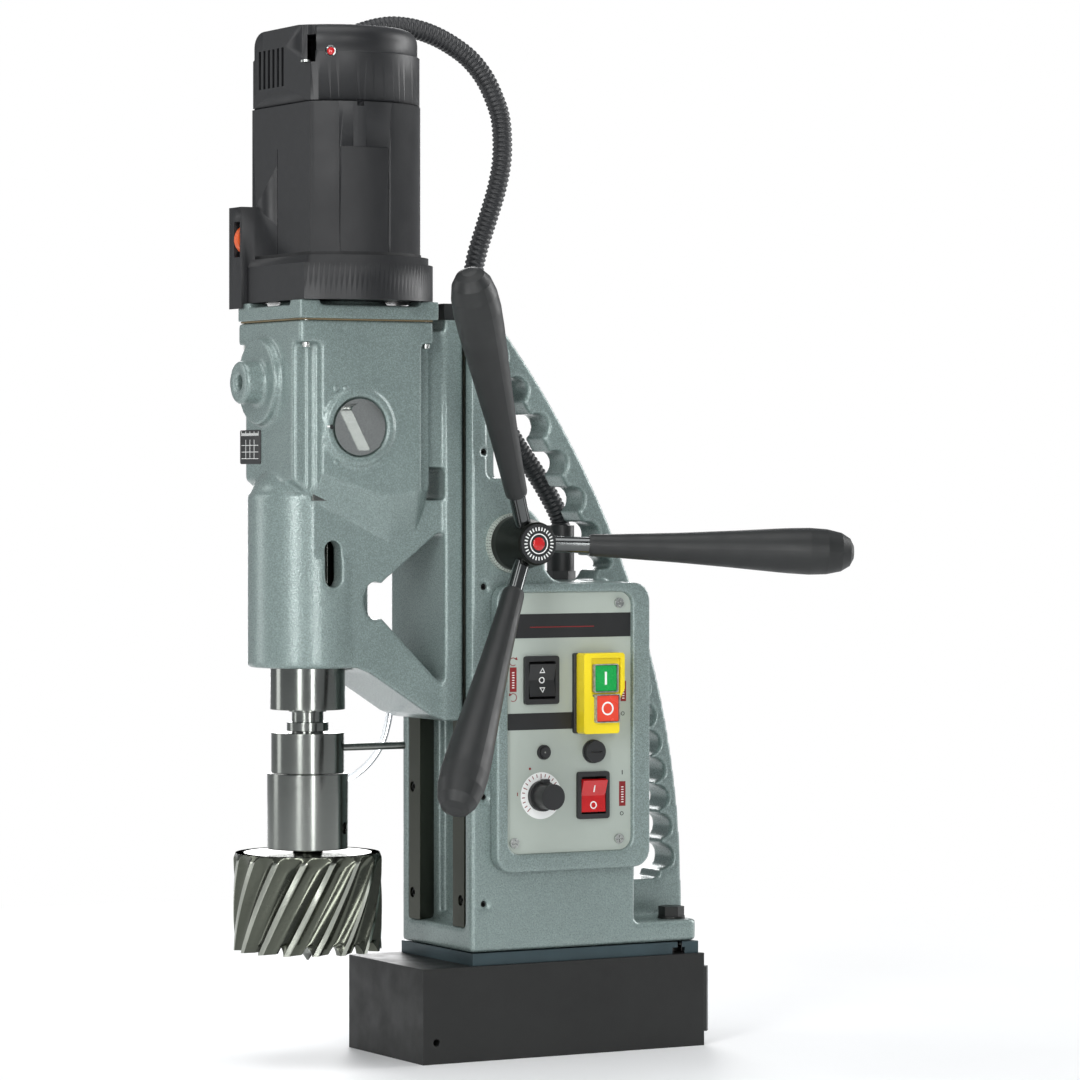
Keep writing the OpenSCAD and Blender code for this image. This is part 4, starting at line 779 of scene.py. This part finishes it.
printed("dial_plate", [disc(*DIAL, 16.2, 64)], WHITE)
printed("dial_rim", [ring(*DIAL, 16.5, 15.9, hi=FACE + 0.2, n=64)], SHEET)
ticks = [tick(DIAL, math.radians(-45 + 270 * k / 20), 12.6 if k % 5 else 11.6, 14.9, 0.3)
         for k in range(21)]
printed("dial_ticks", ticks, INK_RED, "red_plastic", hi=FACE + 0.18)
printed("dial_range_marks", [rect(-39.9, -39.3, 178, 180.4), disc(-30.0, 196.2, 0.9, 16)], INK_RED,
        "red_plastic")


def rocker_print(name, c, half, rest, shapes, mat, body):
    """Marks that lie on a rocker's two sloping faces, turned by its angle at rest in degrees."""
    turn = Matrix.Rotation(math.radians(rest), 3, "Y")
    verts, faces = join(*shapes)
    out = []
    for x, y, z in verts:
        q = turn @ Vector((2.6 + 2.0 * abs(z - c[1]) / (half - 0.4) + x, 0, z - c[1]))
        out.append((57 + q.x, y, q.z + c[1]))
    return piece(name, out, faces, mat, body, 0, "panel_grey")


def tri(y, z, s, up):
    """Triangle pointing up or down."""
    return [(y - s, z - up * s * 0.8), (y + s, z - up * s * 0.8), (y, z + up * s * 0.9)]


def arrowhead(c, up):
    """Outlined triangle above or below a rocker's middle."""
    y, z = c
    return band(tri(y, z + up * 6.6, 2.2, up), tri(y, z + up * 6.5, 1.3, up), *MARK)


MARK = (-0.1, 0.12)             # depth of a rocker's marks under and over its face
ROTATION = (-21.8, 256.1)       # middles of the two rockers, Y and Z
MAGNET_SWITCH = (18.6, 176.8)
rocker_print("rotation_marks", ROTATION, 11.3, 0,
             [arrowhead(ROTATION, 1), ring(*ROTATION, 2.2, 1.5, *MARK, 28), arrowhead(ROTATION, -1)],
             WHITE, "rotation_switch")
y, z = MAGNET_SWITCH
rocker_print("magnet_marks", MAGNET_SWITCH, 11.3, 8,
             [slab(rect(y - 0.45, y + 0.45, z + 2.6, z + 7.4), *MARK),
              ring(y, z - 6.3, 2.6, 1.8, *MARK, 28)], WHITE, "magnet_switch")

# motor starter: black base, yellow cover with its recess, clear frames round the buttons
BUTTON_Y, GREEN_Z, RED_Z = 22.2, 256.9, 236.4
bevelled("starter_base", slab(rrect(19.5, 246.6, 33, 54.6, 1.5), 57.6, 60.6), BLACK, "stand", 0.4)
cover = [(5.0, 220.5), (6.3, 219.2), (31.5, 219.2), (32.7, 220.5), (32.7, 241.5), (36.9, 249.5),
         (36.9, 272.6), (35.6, 274.0), (6.3, 274.0), (5.0, 272.6)]
recess = [(10.6, 247.6), (12, 244.2), (32.5, 244.2), (33.6, 247.6), (33.6, 270.6), (10.6, 270.6)]
wells = [slab(rrect(BUTTON_Y, z, 17.9, 18.2, 0.6), 50, 80) for z in (GREEN_Z, RED_Z)]
wells.append(slab(recess, 68.5, 80))
yellow = carve("starter_cover", mesh_of("cover", slab(cover, 60.5, 71.0)), wells, YELLOW, "stand")
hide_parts("starter_box")
for button, z, front in (("start", GREEN_Z, 71.6), ("stop", RED_Z, 74.0)):
    outer, inner = rrect(BUTTON_Y, z, 19.0, 19.4, 1.2), rrect(BUTTON_Y, z, 17.7, 18.0, 0.8)
    piece(button + "_clear_frame", *band(outer, inner, 67.5, front), LENS, "stand", 30, "clear_tube")
stroke = rect(BUTTON_Y - 0.8, BUTTON_Y + 0.8, GREEN_Z - 4.4, GREEN_Z + 4.4)
printed("start_mark", [slab(stroke, 70.4, 70.62)], WHITE, body="start_button")
printed("stop_mark", [ring(BUTTON_Y, RED_Z, 4.6, 3.5, 72.9, 73.12, 40)], WHITE, body="stop_button")
piece("lamp_ring", *lathe([(3.0, 58), (4.7, 58), (4.7, 59.2), (4.2, 59.7), (3.0, 59.4)],
      (0, -19.5, 207.1), "x", 40), BLACK, "stand", 35, "black_plastic")
piece("lamp_dome", *lathe([(0, 58.2), (3.05, 58.2), (3.05, 59.2), (2.2, 60.3), (0, 60.7)],
      (0, -19.5, 207.1), "x", 40), LENS, "stand", 60, "lamp")

# ---------------------------------------------------------------- capstan marks
def spokes(count, r0, r1, w, lo, hi):
    """Ring of straight marks about the capstan, w wide on each side of their middle."""
    out = []
    for k in range(count):
        out.append(slab(tick(CAPSTAN[1:], 2 * math.pi * k / count, r0, r1, w), lo, hi))
    return out


piece("collar_graduations", *join(*spokes(60, 18.7, 20.0, 0.16, 54.9, 55.08)), INK, "stand", 0,
      "black_plastic")
piece("collar_rim_marks", *join(*spokes(60, 20.1, 20.33, 0.16, 51.6, 54.4)), INK, "stand", 0,
      "black_plastic")
piece("hub_cap_marks", *join(band(disc(*CAPSTAN[1:], 6.9, 48), disc(*CAPSTAN[1:], 6.2, 48), 88.3, 88.55),
      *spokes(28, 8.8, 11.2, 0.42, 88.3, 88.52)), WHITE, "capstan", 0, "panel_grey")
piece("hub_cap_centre", *lathe([(0, 87.9), (4.4, 87.9), (4.4, 88.4), (3.8, 88.75), (0, 88.8)], CAPSTAN, "x",
      40), ROCKER_RED, "capstan", 40, "red_plastic")

# ---------------------------------------------------------------- conduit and coolant tube
CONDUIT = [(0, -134, 693.2), (-0.3, -119, 698), (-1, -104.5, 700.5), (-2, -89, 700),
           (-3, -74, 696.9), (-4.5, -58.3, 691), (-6, -42.5, 682), (-8, -29.4, 669.6),
           (-10, -20.1, 655), (-12, -14.4, 642.1), (-14, -11.8, 626.4), (-16, -11.5, 610.6),
           (-18, -14.2, 593.4), (-20, -18.4, 577.5), (-21.5, -22.9, 562.8), (-23, -26.6, 549.5),
           (-24.5, -28.8, 536), (-26, -28.8, 519.4), (-27, -26.6, 499.4), (-27, -21.5, 476.5),
           (-27, -13.6, 454.4), (-27, -4.1, 432.9), (-27, 7.1, 415.5), (-27, 18.5, 400.8),
           (-27, 28.6, 387), (-27, 37, 373.5), (-27, 40, 368), (-27, 41.6, 364),
           (-27, 42, 360)]
COOLANT = [(-29, -169, 208), (-38, -168, 206), (-48, -163, 202), (-57, -154, 195),
           (-65, -142, 188), (-70, -128, 183), (-73, -112, 182), (-74, -97, 186),
           (-73, -85, 195), (-71, -77, 207), (-69, -73, 221), (-66, -72, 236),
           (-62, -74, 249), (-57, -77, 258), (-53, -78, 262), (-48, -78, 262)]
RIB = 3.4                       # pitch of the conduit's corrugations

points, length = catmull(CONDUIT, RIB / 6)
crest = [6.1, 6.75, 7.0, 7.0, 6.75, 6.1]
v, f = tube(points, [crest[i % 6] for i in range(len(points))], 20)
conduit = piece("conduit_corrugated", v, f, RUBBER, "stand", 60, "conduit_black")
conduit.parent = None
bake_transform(conduit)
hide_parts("conduit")

points, length = catmull(COOLANT, 2.0)
v, f = tube(points, [2.5] * len(points), 14)
hose = piece("coolant_hose", v, f, TUBE, "head", 60)
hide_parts("coolant_tube")

# ---------------------------------------------------------------- floor
bpy.ops.mesh.primitive_circle_add(vertices=96, radius=9, fill_type="NGON", location=(0, 0, 0))
floor = bpy.context.object
floor.name = "studio_floor"
ground = Mat("studio_floor", rough=0.6)
ground.colour(ground.noise(3.0), (0.3, (0.84, 0.845, 0.85, 1)), (0.7, (0.88, 0.885, 0.89, 1)))
away = ground.node("VectorMath", Vector=ground.coord)
away.operation = "LENGTH"
far = ground.node("MapRange", Value=away.outputs["Value"], From_Min=0.25, From_Max=1.1).outputs[0]
seen = ground.t.nodes.new("ShaderNodeLightPath").outputs["Is Camera Ray"]
glow = ground.node("Emission", Color=(1, 1, 1, 1), Strength=1.0)
mixed = ground.t.nodes.new("ShaderNodeMixShader")
ground.t.links.new(math_node(ground, "MULTIPLY", far, seen), mixed.inputs[0])
ground.t.links.new(ground.b.outputs[0], mixed.inputs[1])
ground.t.links.new(glow.outputs[0], mixed.inputs[2])
ground.t.links.new(mixed.outputs[0], ground.out.inputs["Surface"])
floor.data.materials.append(ground.m)
